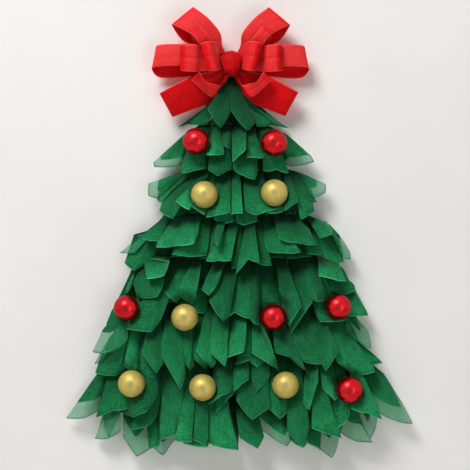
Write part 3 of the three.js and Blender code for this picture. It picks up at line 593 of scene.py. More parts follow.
def weave_group():
    """Plain weave: how much of a spot is thread, how high it lies, and its tone."""
    name = "Weave"
    if name in bpy.data.node_groups:
        return bpy.data.node_groups[name]
    tree, sheet, start, end = new_group(
        name,
        [("Place", "NodeSocketVector", None), ("Pitch", "NodeSocketFloat", 0.001),
         ("Thread", "NodeSocketFloat", 0.5), ("Unevenness", "NodeSocketFloat", 0.3)],
        [("Cover", "NodeSocketFloat"), ("Height", "NodeSocketFloat"), ("Tone", "NodeSocketFloat")],
    )
    place = start["Place"]
    wobble = sheet.add("ShaderNodeTexNoise", {"Vector": place, "Scale": WOBBLE_SCALE, "Detail": 2})
    wobble = sheet.math("SUBTRACT", wobble.outputs["Fac"], 0.5)
    shift = sheet.math("MULTIPLY", wobble, start["Unevenness"])
    axes = sheet.add("ShaderNodeSeparateXYZ", {"Vector": place}).outputs
    across = sheet.math("ADD", sheet.math("DIVIDE", axes[0], start["Pitch"]), shift)
    along = sheet.math("ADD", sheet.math("DIVIDE", axes[1], start["Pitch"]), shift)
    waves = [sheet.math("SINE", sheet.math("MULTIPLY", axis, math.pi)) for axis in (across, along)]
    ridges = [sheet.math("POWER", sheet.math("ABSOLUTE", wave), THREAD_ROUND) for wave in waves]
    over = sheet.math("GREATER_THAN", sheet.math("MULTIPLY", *waves), 0)
    widest = sheet.math("MAXIMUM", *ridges)
    gap = sheet.math("SUBTRACT", 1, start["Thread"])
    cover = sheet.math("MULTIPLY", sheet.math("SUBTRACT", widest, gap), GAP_SHARPNESS, clamp=True)
    top = sheet.add("ShaderNodeMix", data_type="FLOAT")
    sheet.feed(top.inputs[0], over)
    sheet.feed(top.inputs[2], ridges[0])
    sheet.feed(top.inputs[3], ridges[1])
    height = sheet.math("MULTIPLY", top.outputs[0], cover)
    tree.links.new(cover, end["Cover"])
    tree.links.new(height, end["Height"])
    slubs = []
    for scales in SLUB_SCALES:
        stretched = sheet.add("ShaderNodeVectorMath", {0: place, 1: scales}, operation="MULTIPLY")
        slub = sheet.add("ShaderNodeTexNoise", {"Vector": stretched.outputs[0], "Scale": 1, "Detail": 2})
        slubs.append(slub.outputs["Fac"])
    speck = sheet.add("ShaderNodeTexNoise", {"Vector": place, "Scale": SPECK_SCALE, "Detail": 1})
    grain = sheet.math("ADD", sheet.math("ADD", *slubs), speck.outputs["Fac"])
    grain = sheet.math("MULTIPLY", sheet.math("SUBTRACT", grain, GRAIN_MIDDLE), GRAIN_CONTRAST)
    grain = sheet.math("ADD", grain, 0.5)
    tree.links.new(sheet.math("ADD", sheet.math("MULTIPLY", height, HEIGHT_TONE), grain), end["Tone"])
    return tree


def edge_group():
    """A line along a strip's edge, from how far a spot lies from it."""
    name = "Edge Line"
    if name in bpy.data.node_groups:
        return bpy.data.node_groups[name]
    tree, sheet, start, end = new_group(
        name,
        [("Distance", "NodeSocketFloat", 0.01), ("Width", "NodeSocketFloat", 0.0015)],
        [("Line", "NodeSocketFloat")],
    )
    ratio = sheet.math("DIVIDE", start["Distance"], start["Width"])
    line = sheet.math("MULTIPLY", sheet.math("SUBTRACT", 1, ratio), LINE_SHARPNESS, clamp=True)
    tree.links.new(line, end["Line"])
    return tree


def mottle_group():
    """Soft, slow change of tone over a surface."""
    name = "Mottle"
    if name in bpy.data.node_groups:
        return bpy.data.node_groups[name]
    tree, sheet, start, end = new_group(
        name,
        [("Place", "NodeSocketVector", None), ("Scale", "NodeSocketFloat", 30.0),
         ("Low", "NodeSocketFloat", 0.8), ("High", "NodeSocketFloat", 1.2)],
        [("Value", "NodeSocketFloat")],
    )
    cloud = sheet.add("ShaderNodeTexNoise", {
        "Vector": start["Place"], "Scale": start["Scale"], "Detail": 3,
    })
    spread = sheet.add("ShaderNodeMapRange", {
        "Value": cloud.outputs["Fac"], "From Min": 0.3, "From Max": 0.7,
        "To Min": start["Low"], "To Max": start["High"],
    })
    tree.links.new(spread.outputs[0], end["Value"])
    return tree


def new_material(name):
    material = bpy.data.materials.new(name)
    material.use_nodes = True
    material.node_tree.nodes.clear()
    sheet = NodeSheet(material.node_tree)
    shader = sheet.add("ShaderNodeBsdfPrincipled")
    output = sheet.add("ShaderNodeOutputMaterial")
    material.node_tree.links.new(shader.outputs[0], output.inputs[0])
    return material, sheet, shader


def shade(sheet, colour, value):
    """A colour made darker or lighter by a value."""
    node = sheet.add("ShaderNodeVectorMath", operation="SCALE")
    sheet.feed(node.inputs[0], tuple(colour)[:3])
    sheet.feed(node.inputs["Scale"], value)
    return node.outputs[0]


def attribute(sheet, name):
    """A value that a mesh keeps for each of its spots."""
    return sheet.add("ShaderNodeAttribute", attribute_name=name).outputs["Fac"]


def object_place(sheet):
    return sheet.add("ShaderNodeTexCoord").outputs["Object"]


def weave(sheet, pitch, thread, unevenness):
    """The weave along a strip's own map."""
    place = sheet.add("ShaderNodeUVMap", uv_map="Cloth").outputs[0]
    return sheet.group(weave_group(), {
        "Place": place, "Pitch": pitch, "Thread": thread, "Unevenness": unevenness,
    })


def edge_line(sheet, distance, width):
    """How much of a spot is the dense line along the edge."""
    return sheet.group(edge_group(), {"Distance": distance, "Width": width})["Line"]


def mottle(sheet, place, scale, low, high):
    """A value that drifts slowly between two limits."""
    values = {"Place": place, "Scale": scale, "Low": low, "High": high}
    return sheet.group(mottle_group(), values)["Value"]


def relief(sheet, shader, height, strength, distance):
    """Gives a finish its fine relief."""
    bump = sheet.add("ShaderNodeBump", {"Height": height, "Strength": strength, "Distance": distance})
    sheet.feed(shader.inputs["Normal"], bump.outputs[0])


def speckle(sheet, place, scale):
    """Fine noise, as the height of a relief."""
    values = {"Vector": place, "Scale": scale, "Detail": 2}
    return sheet.add("ShaderNodeTexNoise", values).outputs["Fac"]


def set_values(shader, values):
    """Sets a shader's plain sockets."""
    for key, value in values.items():
        shader.inputs[key].default_value = value


def cloth_material():
    """Green mesh cloth with a light hem, sheer where it is a single layer, painted light where that layer
    is made paler, and painted shade and light from its tone.
    """
    name = "Green Mesh Cloth"
    if name in bpy.data.materials:
        return bpy.data.materials[name]
    look = settings("door_tree_cloth")
    material, sheet, shader = new_material(name)
    threads = weave(sheet, look.thread_pitch, thread=0.72, unevenness=0.5)
    to_hem = attribute(sheet, "hem_distance")
    hem = edge_line(sheet, to_hem, look.hem_width)
    clouds = mottle(sheet, object_place(sheet), scale=38, low=0.86, high=1.14)
    # The tone attribute holds each fold's random tone and the folds' painted shade and light.
    tone = sheet.math("MULTIPLY", clouds, attribute(sheet, "tone"))
    thread = sheet.math("ADD", sheet.math("MULTIPLY", threads["Tone"], THREAD_CONTRAST), THREAD_DARK)
    base = shade(sheet, look.colour, sheet.math("MULTIPLY", tone, thread))
    length = sheet.math("MULTIPLY", attribute(sheet, "sheer"), look.sheer_length)
    single = sheet.math("SUBTRACT", length, to_hem)
    single = sheet.math("MULTIPLY", single, SINGLE_SHARPNESS, clamp=True)
    hem_light = sheet.math("SUBTRACT", HEM_LIGHT, sheet.math("MULTIPLY", single, SINGLE_HEM_LOSS))
    hem_light = sheet.math("MULTIPLY", hem, hem_light)
    base = sheet.mix(hem_light, base, shade(sheet, look.hem_and_painted_light_colour, tone))
    sheer = sheet.math("MULTIPLY", single, sheet.math("SUBTRACT", 1, hem))
    # Painted light: a single layer is made paler, towards the hem colour, as if lit through.
    pale = sheet.math("MULTIPLY", sheer, SINGLE_PAINTED_LIGHT)
    base = sheet.mix(pale, base, shade(sheet, look.hem_and_painted_light_colour, thread))
    sheet.feed(shader.inputs["Base Color"], base)
    solid = sheet.math("ADD", threads["Cover"], hem, clamp=True)
    closed = sheet.math("MAXIMUM", solid, sheet.math("SUBTRACT", LAYERS_CLOSED, sheer))
    thin = sheet.math("SUBTRACT", 1, sheet.math("MULTIPLY", sheer, SINGLE_CLEAR))
    sheet.feed(shader.inputs["Alpha"], sheet.math("MULTIPLY", closed, thin, clamp=True))
    set_values(shader, {
        "Roughness": 0.82, "Specular IOR Level": 0.08,
        "Sheen Weight": 0.08, "Sheen Roughness": 0.5, "Sheen Tint": (0.6, 1, 0.75, 1),
    })
    relief(sheet, shader, threads["Height"], strength=0.55, distance=0.25 * MM)
    return material


def ribbon_material():
    """Red ribbon with a wired edge along both sides, and painted light that makes the loops' fronts paler.
    """
    name = "Red Wired Ribbon"
    if name in bpy.data.materials:
        return bpy.data.materials[name]
    look = settings("door_tree_bow")
    material, sheet, shader = new_material(name)
    threads = weave(sheet, look.thread_pitch, thread=0.8, unevenness=0.35)
    edge = edge_line(sheet, attribute(sheet, "hem_distance"), RIBBON_EDGE_WIDTH)
    clouds = mottle(sheet, object_place(sheet), scale=60, low=0.9, high=1.1)
    thread = sheet.math("ADD", sheet.math("MULTIPLY", threads["Tone"], RIBBON_CONTRAST), RIBBON_DARK)
    # The tone attribute holds painted shade where the ribbon is drawn in at the knot, and on the knot.
    tone = sheet.math("MULTIPLY", clouds, attribute(sheet, "tone"))
    base = shade(sheet, look.colour, sheet.math("MULTIPLY", tone, thread))
    # Painted light: a loop's front is made paler, towards the edge colour.
    base = sheet.mix(attribute(sheet, "pale"), base, shade(sheet, look.edge_and_painted_light_colour, thread))
    edge_light = sheet.math("MULTIPLY", edge, RIBBON_EDGE_LIGHT)
    base = sheet.mix(edge_light, base, (*look.edge_and_painted_light_colour, 1))
    sheet.feed(shader.inputs["Base Color"], base)
    set_values(shader, {
        "Roughness": 0.56, "Specular IOR Level": 0.09,
        "Sheen Weight": 0.02, "Sheen Roughness": 0.35, "Sheen Tint": (1, 0.35, 0.35, 1),
    })
    relief(sheet, shader, threads["Height"], strength=0.4, distance=0.15 * MM)
    return material


def red_ball_material():
    """Glossy red, darker at the front end where a dark reflection is painted over the moulded dimple."""
    name = "Glossy Red Bauble"
    if name in bpy.data.materials:
        return bpy.data.materials[name]
    look = settings("door_tree_baubles")
    material, sheet, shader = new_material(name)
    place = object_place(sheet)
    base = shade(sheet, look.red, mottle(sheet, place, scale=45, low=0.85, high=1.12))
    # Painted reflection: the front end is darkened towards a deep red.
    mark = sheet.math("MULTIPLY", attribute(sheet, "mark"), RED_REFLECTION_SHARE)
    sheet.feed(shader.inputs["Base Color"], sheet.mix(mark, base, RED_PAINTED_REFLECTION))
    set_values(shader, {
        "Metallic": 0.9, "Specular Tint": (0.3, 0.02, 0.02, 1),
        "Coat Weight": 0.3, "Coat Roughness": 0.22,
    })
    sheet.feed(shader.inputs["Roughness"], mottle(sheet, place, scale=60, low=0.25, high=0.3))
    return material


def gold_ball_material():
    """Satin gold with a fine grain, and a dark reflection painted at its front end."""
    name = "Satin Gold Bauble"
    if name in bpy.data.materials:
        return bpy.data.materials[name]
    look = settings("door_tree_baubles")
    material, sheet, shader = new_material(name)
    place = object_place(sheet)
    base = shade(sheet, look.gold, mottle(sheet, place, scale=90, low=0.86, high=1.12))
    # Painted reflection: the front end is darkened towards a greyish gold.
    mark = sheet.math("MULTIPLY", attribute(sheet, "mark"), GOLD_REFLECTION_SHARE)
    sheet.feed(shader.inputs["Base Color"], sheet.mix(mark, base, GOLD_PAINTED_REFLECTION))
    set_values(shader, {"Metallic": 0.4})
    sheet.feed(shader.inputs["Roughness"], mottle(sheet, place, scale=240, low=0.42, high=0.56))
    relief(sheet, shader, speckle(sheet, place, scale=1500), strength=0.15, distance=0.1 * MM)
    return material


def cap_material():
    """Bright pressed metal."""
    name = "Pressed Cap Metal"
    if name in bpy.data.materials:
        return bpy.data.materials[name]
    look = settings("door_tree_baubles")
    material, sheet, shader = new_material(name)
    place = object_place(sheet)
    base = shade(sheet, look.cap_colour, mottle(sheet, place, scale=300, low=0.8, high=1.1))
    sheet.feed(shader.inputs["Base Color"], base)
    set_values(shader, {"Metallic": 1})
    sheet.feed(shader.inputs["Roughness"], mottle(sheet, place, scale=500, low=0.25, high=0.42))
    return material


def wire_material():
    """Dark green enamel on wire."""
    name = "Green Enamelled Wire"
    if name in bpy.data.materials:
        return bpy.data.materials[name]
    look = settings("door_tree_wires")
    material, sheet, shader = new_material(name)
    place = object_place(sheet)
    base = shade(sheet, look.colour, mottle(sheet, place, scale=120, low=0.75, high=1.2))
    sheet.feed(shader.inputs["Base Color"], base)
    sheet.feed(shader.inputs["Roughness"], mottle(sheet, place, scale=400, low=0.3, high=0.5))
    relief(sheet, shader, speckle(sheet, place, scale=900), strength=0.2, distance=0.1 * MM)
    return material


# Cloth

# Lengths are in millimetres, but along the hems and the gathers in pixels of the view.

# Columns and rows of a cloth's mesh, and its heading above the gather.
COLUMN_PIXELS = 4
PLAIN_PARTS = 3
ROWS = 15
HEADING = 6

# Gathers: how far in front of the frame they lie, where they are on the outline wire, and how much
# of a wire's ends they leave free.
CLOTH_BACK = 5
BAR_END = 4
BASE_GATHER = 1.6
BASE_END = 12
PEAK_GATHER = -34
PEAK_HALF = 22

# Folds: their lean, tones and swells, from where the depth setting counts, and their curve out.
FOLD_TILT = 13
FOLD_TONES = (0.68, 1.3)
FOLD_SWELLS = (0.75, 1.25)
FULL_OUT = 20
FOLD_CURVE = 1.7

# Columns: from what length they fan out of the gather, by what share, between what shares of their
# length their tops may lie, and their painted shade at the gather and painted light at the hem.
FAN_FROM = 4
FAN_SHARE = 0.45
TOP_SHARES = (0.02, 0.9)
SHADE_PAINTED_AT_TOP = 0.08
LIGHT_PAINTED_AT_HEM = 1.22
PEAK_PAINTED_AT_HEM = 0.72

# Hems: how much their lengths curl, and how far their corners stand out for their turn in degrees.
HEM_CURL = 1.5
CURL_LEAST = -0.3
CURL_LENGTH = 14
RIDGE_TURN = 40
VALLEY_MOST = -0.6
CREASE_RIDGE = 0.6
PLAIN_SWELL = 0.8
CORNER_SWELL = 0.25

# Returns between folds: how far they rise, how far forward they stay, and their painted shade.
RETURN_LIFT = 5
RETURN_DEPTH = 0.4
RETURN_PAINTED_SHADE = 0.24

# Lining: its pleats, how they spread, how far their hems drop, and its painted shade.
LINING_SEED = 5
LINING_MARGIN = 3
LINING_STEP = 11
LINING_GAP = 0.5
LINING_SPREAD = 0.38
LINING_DROPS = (-2, 3)
LINING_OUT = 9
LINING_PAINTED_SHADE = 0.4

# Wrinkles: scales of the long creases and the fine ripples, and how much stronger the creases are.
CREASE_SCALES = (34, 13, 0.21)
RIPPLE_SCALES = (90, 60)
RIPPLE_LAYER = 4
CREASE_WEIGHT = 3.2

# Baubles: how near they change the cloth, and the room that they get as they hang and lift.
NEAR_ACROSS = 60
NEAR_DOWN = 80
BALL_ROOM = 3
BALL_SLOPE = 2
LIFT_ANGLE = math.radians(20)
LIFT_SINE = math.sin(LIFT_ANGLE)
LIFT_SETBACK = 1 - math.cos(LIFT_ANGLE)
LIFT_ROOM = 4

# Ties: how far forward they start and end, the drop of their hooks, and the room round them.
TIE_DEPTH = 20
TIE_START = 3.5
TIE_HOOK = 2.5
TIE_REACH = 5
TIE_END = 0.8
TIE_FRONT = 1
TIE_ROOM = 2.4
TIE_SLOPE = 1.2

# Openings behind the baubles: the room of a cap, how close a face may come to a ball, how far off
# faces are tried, and at what shares of a face.
CAP_ROOM = 8.6
CAP_BACK = 17.5
CAP_LIFT = 4
FACE_ROOM = 1
FACE_REACH = 40
FACE_SHARES = (0, 0.25, 0.5, 0.75, 1)


def lerp(first, second, share):
    return first + (second - first) * share


def between(first, second, share):
    return tuple(lerp(a, b, share) for a, b in zip(first, second))


def bauble_places():
    """Each bauble's axis, ball middle, radius and tie root, in millimetres, forward from the frame."""
    places = []
    for number in range(1, BAUBLES + 1):
        low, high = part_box(f"ball_{number}")
        radius = (high.x - low.x) / 2
        tie_low, tie_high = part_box(f"ball_tie_{number}")
        across = (low.x + high.x) / 2
        places.append({
            "across": across / MM,
            "height": (low.z + high.z) / 2 / MM,
            "forward": (-low.y - radius) / MM,
            "radius": radius / MM,
            "root_across": (tie_low.x if abs(tie_low.x) < abs(tie_high.x) else tie_high.x) / MM,
            "root_height": (tie_high.z - TIE_HOOK * MM) / MM,
        })
    return places


def from_line(x, z, start, end):
    """How far a spot lies from a line seen from the front, and its share along the line."""
    line_x = end[0] - start[0]
    line_z = end[1] - start[1]
    square = line_x * line_x + line_z * line_z
    share = ((x - start[0]) * line_x + (z - start[1]) * line_z) / square if square else 0
    share = min(1, max(0, share))
    return math.hypot(x - start[0] - line_x * share, z - start[1] - line_z * share), share


def clear_of_tie(x, z, forward, place):
    """Moves a spot to before or behind a tie that it lies close to."""
    hinge = (place["across"], place["height"])
    root = (place["root_across"], place["root_height"])
    away, share = from_line(x, z, root, hinge)
    if away >= TIE_REACH or share >= TIE_END:
        return forward
    tie = lerp(TIE_START, TIE_DEPTH, share)
    ease = max(0, away - TIE_ROOM) * TIE_SLOPE
    if forward > tie - TIE_FRONT:
        return max(forward, tie + TIE_ROOM - ease)
    return min(forward, tie - TIE_ROOM + ease)


def back_of_ball(x, z, place):
    """How far forward the cloth may come where a bauble hangs and lifts."""
    hinge = (place["across"], place["height"])
    reach = place["forward"] - TIE_DEPTH
    lifted = (place["across"], place["height"] + reach * LIFT_SINE + LIFT_ROOM)
    away, share = from_line(x, z, hinge, lifted)
    middle = place["forward"] - share * reach * LIFT_SETBACK
    room = place["radius"] + BALL_ROOM
    if away < room:
        return middle - math.sqrt(room * room - away * away)
    return middle + (away - room) * BALL_SLOPE


def kept_clear(x, z, forward, places):
    """Presses the cloth back behind the baubles and parts it round their ties."""
    for place in places:
        if abs(x - place["across"]) > NEAR_ACROSS or abs(z - place["height"]) > NEAR_DOWN:
            continue
        forward = min(clear_of_tie(x, z, forward, place), back_of_ball(x, z, place))
    return max(forward, CLOTH_BACK)


def hem_ridges(hem):
    """How far each of a hem's corners stands out: a corner that points down is a ridge."""
    ridges = []
    for number, (x, y) in enumerate(hem):
        if number in (0, len(hem) - 1):
            ridges.append(0)
            continue
        before = hem[number - 1]
        after = hem[number + 1]
        turn = math.atan2(y - before[1], x - before[0]) - math.atan2(after[1] - y, after[0] - x)
        turn = math.atan2(math.sin(turn), math.cos(turn))
        if before[0] > after[0]:
            turn = -turn
        ridges.append(max(VALLEY_MOST, min(1, math.degrees(turn) / RIDGE_TURN)))
    return ridges


def hem_columns(hem, chance):
    """Spots along a hem: share of its length, place, how far out, and whether it is a crease."""
    lengths = [math.dist(a, b) for a, b in zip(hem, hem[1:])]
    total = sum(lengths)
    ridges = hem_ridges(hem)
    plain = len(hem) == 2
    spots = [(0, hem[0], 0, True)]
    done = 0
    for number, length in enumerate(lengths):
        parts = max(PLAIN_PARTS if plain else 1, round(length / COLUMN_PIXELS))
        start, end = hem[number], hem[number + 1]
        curl = chance.uniform(CURL_LEAST, 1) * HEM_CURL * min(1, length / CURL_LENGTH)
        for part in range(1, parts + 1):
            share = (done + length * part / parts) / total
            across, down = between(start, end, part / parts)
            arc = curl * math.sin(math.pi * part / parts)
            across -= arc * (end[1] - start[1]) / length
            down += arc * (end[0] - start[0]) / length
            ridge = lerp(ridges[number], ridges[number + 1], part / parts)
            ridge += (PLAIN_SWELL if plain else CORNER_SWELL) * math.sin(math.pi * share)
            crease = part == parts and abs(ridges[number + 1]) > CREASE_RIDGE
            spots.append((share, (across, down), ridge, crease))
        done += length
    return spots


def fold_columns(fold, chance, look):
    """A fold's columns from left to right: top, hem, how far out, sheer, tone with the lining's painted
    shade, and whether an edge.
    """
    top_left, top_right, hem, out, sheer = fold
    tilt = chance.uniform(-FOLD_TILT, FOLD_TILT)
    tone = chance.uniform(*FOLD_TONES)
    # Painted shade: the lining behind the folds is darker.
    if out == LINING_OUT:
        tone *= LINING_PAINTED_SHADE
    swell = chance.uniform(*FOLD_SWELLS) * look.hem_bulge / MM
    if out > FULL_OUT:
        out = FULL_OUT + (out - FULL_OUT) * look.depth
    columns = []
    for share, place, ridge, crease in hem_columns(hem, chance):
        columns.append({
            "top": between(top_left, top_right, share),
            "hem": place,
            "out": out + swell * ridge + tilt * (share - 0.5),
            "sheer": sheer,
            "tone": tone,
            "edge": crease or share in (0, 1),
        })
    return columns


def return_columns(left, right):
    """The columns that go back behind one fold's edge and come forward to the next."""
    low = min(left["hem"][1], right["hem"][1]) - RETURN_LIFT
    back = {
        "top": between(left["top"], right["top"], 0.5),
        "hem": ((left["hem"][0] + right["hem"][0]) / 2, low),
        "out": CLOTH_BACK + RETURN_DEPTH * (min(left["out"], right["out"]) - CLOTH_BACK),
        "sheer": min(left["sheer"], right["sheer"]),
        # Painted shade: the returns between folds are darker.
        "tone": (left["tone"] + right["tone"]) / 2 * RETURN_PAINTED_SHADE,
    }
    columns = []
    for first, second, share in ((left, back, 0.5), (back, back, 0), (back, right, 0.5)):
        column = {key: lerp(first[key], second[key], share) for key in ("out", "sheer", "tone")}
        column["top"] = between(first["top"], second["top"], share)
        column["hem"] = between(first["hem"], second["hem"], share)
        column["edge"] = False
        columns.append(column)
    return columns


def tier_columns(folds, look):
    """All of a cloth's columns, with a return between each fold and the next."""
    chance = random.Random(look.seed)
    columns = []
    for fold in folds:
        found = fold_columns(fold, chance, look)
        if columns:
            columns.extend(return_columns(columns[-1], found[0]))
        columns.extend(found)
    return columns


def down_pixel(height, forward):
    """The pixel row of a height, this far in front of the wire frame."""
    size = PIXEL * (CAMERA_DISTANCE - forward * MM) / CAMERA_DISTANCE
    return VIEW_MIDDLE - (height * MM - VIEW_Z) / size


def across_pixel(across, forward):
    """The pixel column of a place across, this far in front of the wire frame."""
    size = PIXEL * (CAMERA_DISTANCE - forward * MM) / CAMERA_DISTANCE
    return VIEW_MIDDLE + (across * MM - VIEW_X) / size


def strip_mesh(name, rows, attributes, edges):
    """A sheet from columns of spots, with a map in metres and values for each spot."""
    mesh = bpy.data.meshes.new(name)
    tall = len(rows[0])
    points = [point for column in rows for point in column]
    faces = []
    for across in range(len(rows) - 1):
        for down in range(tall - 1):
            first = across * tall + down
            faces.append((first, first + 1, first + tall + 1, first + tall))
    mesh.from_pydata(points, [], faces)
    for key, values in attributes.items():
        if key == "map":
            continue
        layer = mesh.attributes.new(key, "FLOAT", "POINT")
        layer.data.foreach_set("value", [value for column in values for value in column])
    places = [value for column in attributes["map"] for value in column]
    layer = mesh.uv_layers.new(name="Cloth")
    for corner in mesh.loops:
        layer.data[corner.index].uv = places[corner.vertex_index]
    smooth(mesh)
    sharp = mesh.attributes.new("sharp_edge", "BOOLEAN", "EDGE")
    for edge in mesh.edges:
        first, second = edge.vertices
        if first // tall == second // tall and first // tall in edges:
            sharp.data[edge.index].value = True
    return mesh


def lining(left, right, gather, hem, look):
    """The strip's last stretch, which goes back behind the folds in plain shallow pleats."""
    chance = random.Random(look.seed + LINING_SEED)
    folds = []
    wide = max(1, right - left)
    spread = (hem - gather) * LINING_SPREAD
    across = right - LINING_MARGIN
    while across > left + LINING_STEP:
        after = across - LINING_STEP
        first = across + spread * (2 * (across - left) / wide - 1)
        second = after + spread * (2 * (after - left) / wide - 1)
        low = hem + chance.uniform(*LINING_DROPS)
        line = [(first, low), (second, low + 1)]
        folds.append(((across, gather), (after, gather), line, LINING_OUT, 0))
        across = after - LINING_GAP
    return folds


def gather_line(node, carrier):
    """The height of a cloth's gather and half its length."""
    low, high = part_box(carrier)
    if carrier.startswith("cross_bar"):
        return (low.z + high.z) / 2 / MM, high.x / MM - BAR_END
    if node == "peak_cap":
        return PEAK_GATHER, PEAK_HALF
    return low.z / MM + BASE_GATHER, high.x / MM - BASE_END


def column_spots(number, column, gather, limits, look, places):
    """A column's spots, from its heading down to its hem."""
    top = column["top"]
    hem = column["hem"]
    gather_x = top[0]
    if hem[1] > top[1] + FAN_FROM:
        gather_x += (top[0] - hem[0]) * (top[1] - gather) / (hem[1] - top[1]) * FAN_SHARE
    gather_x = min(limits[1], max(limits[0], gather_x))
    least, most = TOP_SHARES
    top_share = min(most, max(least, (top[1] - gather) / (hem[1] - gather)))
    spots = []
    for step in range(ROWS + 1):
        share = step / ROWS
        if share < top_share:
            across = lerp(gather_x, top[0], share / top_share)
        else:
            across = lerp(top[0], hem[0], (share - top_share) / (1 - top_share))
        down = lerp(gather, hem[1], share)
        forward = CLOTH_BACK + (column["out"] - CLOTH_BACK) * (1 - (1 - share) ** FOLD_CURVE)
        place = spot(across, down, forward * MM)
        forward += wrinkles(place, number) * look.wrinkle / MM * share ** 0.5
        forward = kept_clear(place.x / MM, place.z / MM, forward, places)
        spots.append(spot(across, down, forward * MM))
    heading = spots[0] + Vector((0, 0, HEADING * MM))
    return [heading, *spots]


def wrinkles(place, number):
    """Long creases, which differ from column to column, with fine ripples on them."""
    across, down, layer = CREASE_SCALES
    crease = noise.noise(Vector((place.x * across, place.z * down, number * layer)))
    across, down = RIPPLE_SCALES
    ripple = noise.noise(Vector((place.x * across, place.z * down, RIPPLE_LAYER)))
    return crease * CREASE_WEIGHT + ripple


def lengths_to_end(spots):
    """How far along the cloth each spot lies from the last one."""
    lengths = [0]
    for first, second in zip(spots[::-1], spots[-2::-1]):
        lengths.append(lengths[-1] + (first - second).length)
    return lengths[::-1]


def fold_tier(node, carrier, folds, look, places, lining_hem):
    """Makes one cloth from its folds and its lining."""
    gather, half = gather_line(node, carrier)
    gather = down_pixel(gather, CLOTH_BACK)
    limits = (across_pixel(-half, CLOTH_BACK), across_pixel(half, CLOTH_BACK))
    columns = tier_columns(folds + lining(*limits, gather, lining_hem, look), look)
    rows = []
    maps = []
    hem_distances = []
    cover = 0
    for number, column in enumerate(columns):
        spots = column_spots(number, column, gather, limits, look, places)
        lengths = lengths_to_end(spots)
        if rows:
            cover += (spots[-1] - rows[-1][-1]).length
        rows.append(spots)
        maps.append([(cover, length) for length in lengths])
        hem_distances.append(lengths)
    tall = len(rows[0])
    # Painted shade and light: the tone rises from dark at the gather to light at the hem.
    painted_at_hem = PEAK_PAINTED_AT_HEM if node == "peak_cap" else LIGHT_PAINTED_AT_HEM
    attributes = {
        "map": maps,
        "hem_distance": hem_distances,
        "sheer": [[column["sheer"]] * tall for column in columns],
        "tone": [
            [column["tone"] * lerp(SHADE_PAINTED_AT_TOP, painted_at_hem, row / (tall - 1)) for row in range(tall)]
            for column in columns
        ],
    }
    edges = {number for number, column in enumerate(columns) if column["edge"]}
    mesh = strip_mesh(f"{node}_cloth", rows, attributes, edges)
    open_for_baubles(mesh, places)
    piece = link(f"{node}_cloth", mesh)
    mesh.materials.append(cloth_material())
    thicken(piece, look.thickness)
    belong(piece, BODY, [node])


def in_the_way(place, x, z, forward):
    """Whether a spot lies where a bauble's ball or cap goes between hanging and lifted."""
    reach = place["forward"] - TIE_DEPTH
    hanging = (place["across"], place["height"])
    lifted = (place["across"], place["height"] + reach * LIFT_SINE)
    away, share = from_line(x, z, hanging, lifted)
    middle = place["forward"] - share * reach * LIFT_SETBACK
    in_ball = math.hypot(away, forward - middle) < place["radius"] + FACE_ROOM
    top = (place["across"], place["height"] + CAP_LIFT)
    away = from_line(x, z, hanging, top)[0]
    return in_ball or (away < CAP_ROOM and forward > CAP_BACK)


def open_for_baubles(mesh, places):
    """Takes out the cloth behind a bauble where its cap comes through and its ball lifts."""
    work = bmesh.new()
    work.from_mesh(mesh)
    gone = []
    for face in work.faces:
        corners = [corner.co / MM for corner in face.verts]
        middle = face.calc_center_median() / MM
        for place in places:
            if abs(middle.x - place["across"]) > FACE_REACH:
                continue
            if abs(middle.z - place["height"]) > FACE_REACH:
                continue
            spots = [
                corners[0].lerp(corners[1], down).lerp(corners[3].lerp(corners[2], down), across)
                for down in FACE_SHARES for across in FACE_SHARES
            ]
            if any(in_the_way(place, found.x, found.z, -found.y) for found in spots):
                gone.append(face)
                break
    bmesh.ops.delete(work, geom=gone, context="FACES")
    work.to_mesh(mesh)
    work.free()


# Bow

# Loops: steps across and between stations, and over how many pixels the right side grows.
RIBBON_ACROSS = 24
RIBBON_STEPS = 7
GROW_SPAN = 55

# How a ribbon is drawn in: from what share of its widest, with what curve, pleats and painted shade.
TIGHT_FROM = 1.05
TIGHT_CURVE = 1.6
PLEATS = 2.6 * MM
PLEAT_WAVES = 2.5
PLEAT_PAINTED_SHADE = 0.5
PAINTED_SHADE_CURVE = 0.55

# How a ribbon swells and creases across, and its slow waves, whose height is in millimetres.
CROWN_CURVE = 1.3
CREASE_WIDTH = 0.05
WAVE_SCALES = (30, 2.5, 0.01)
WAVE_HEIGHT = 1.1

# Up to what share of a loop's length its front side goes, which is paler with painted light, and how
# softly it ends.
FRONT_END = 0.53
FRONT_FADE = 0.05

# Knot: its band's width and length in millimetres, its mesh, the depth and row at which its
# sides are placed, and its painted shade.
KNOT_BAND = 32
KNOT_LENGTH = 110
KNOT_THICKNESS = 1 * MM
KNOT_WELD = 0.01 * MM
KNOT_AROUND = 56
KNOT_ACROSS = 14
KNOT_FORWARD = 40 * MM
KNOT_ROW = 60
KNOT_PAINTED_SHADE = 0.7

# Knot: how square it is, how far proud, how its edges tuck in, and its folds.
KNOT_SQUARE = 0.75
KNOT_PROUD = 1.5 * MM
KNOT_TUCK = 0.3
KNOT_TUCK_CURVE = 2.6
KNOT_FOLD = 0.4 * MM
KNOT_FOLDS = 3.2
KNOT_FOLD_LEAN = 1.4
KNOT_FOLD_START = 0.6

# Knot: how narrow it is at its top and its foot, and from where it narrows.
KNOT_TOP_SPAN = 0.7
KNOT_TOP_FROM = 0.4
KNOT_TOP_CURVE = 1.8
KNOT_FOOT_SPAN = 0.62
KNOT_FOOT_FROM = -0.9
KNOT_FOOT_REACH = 1.4


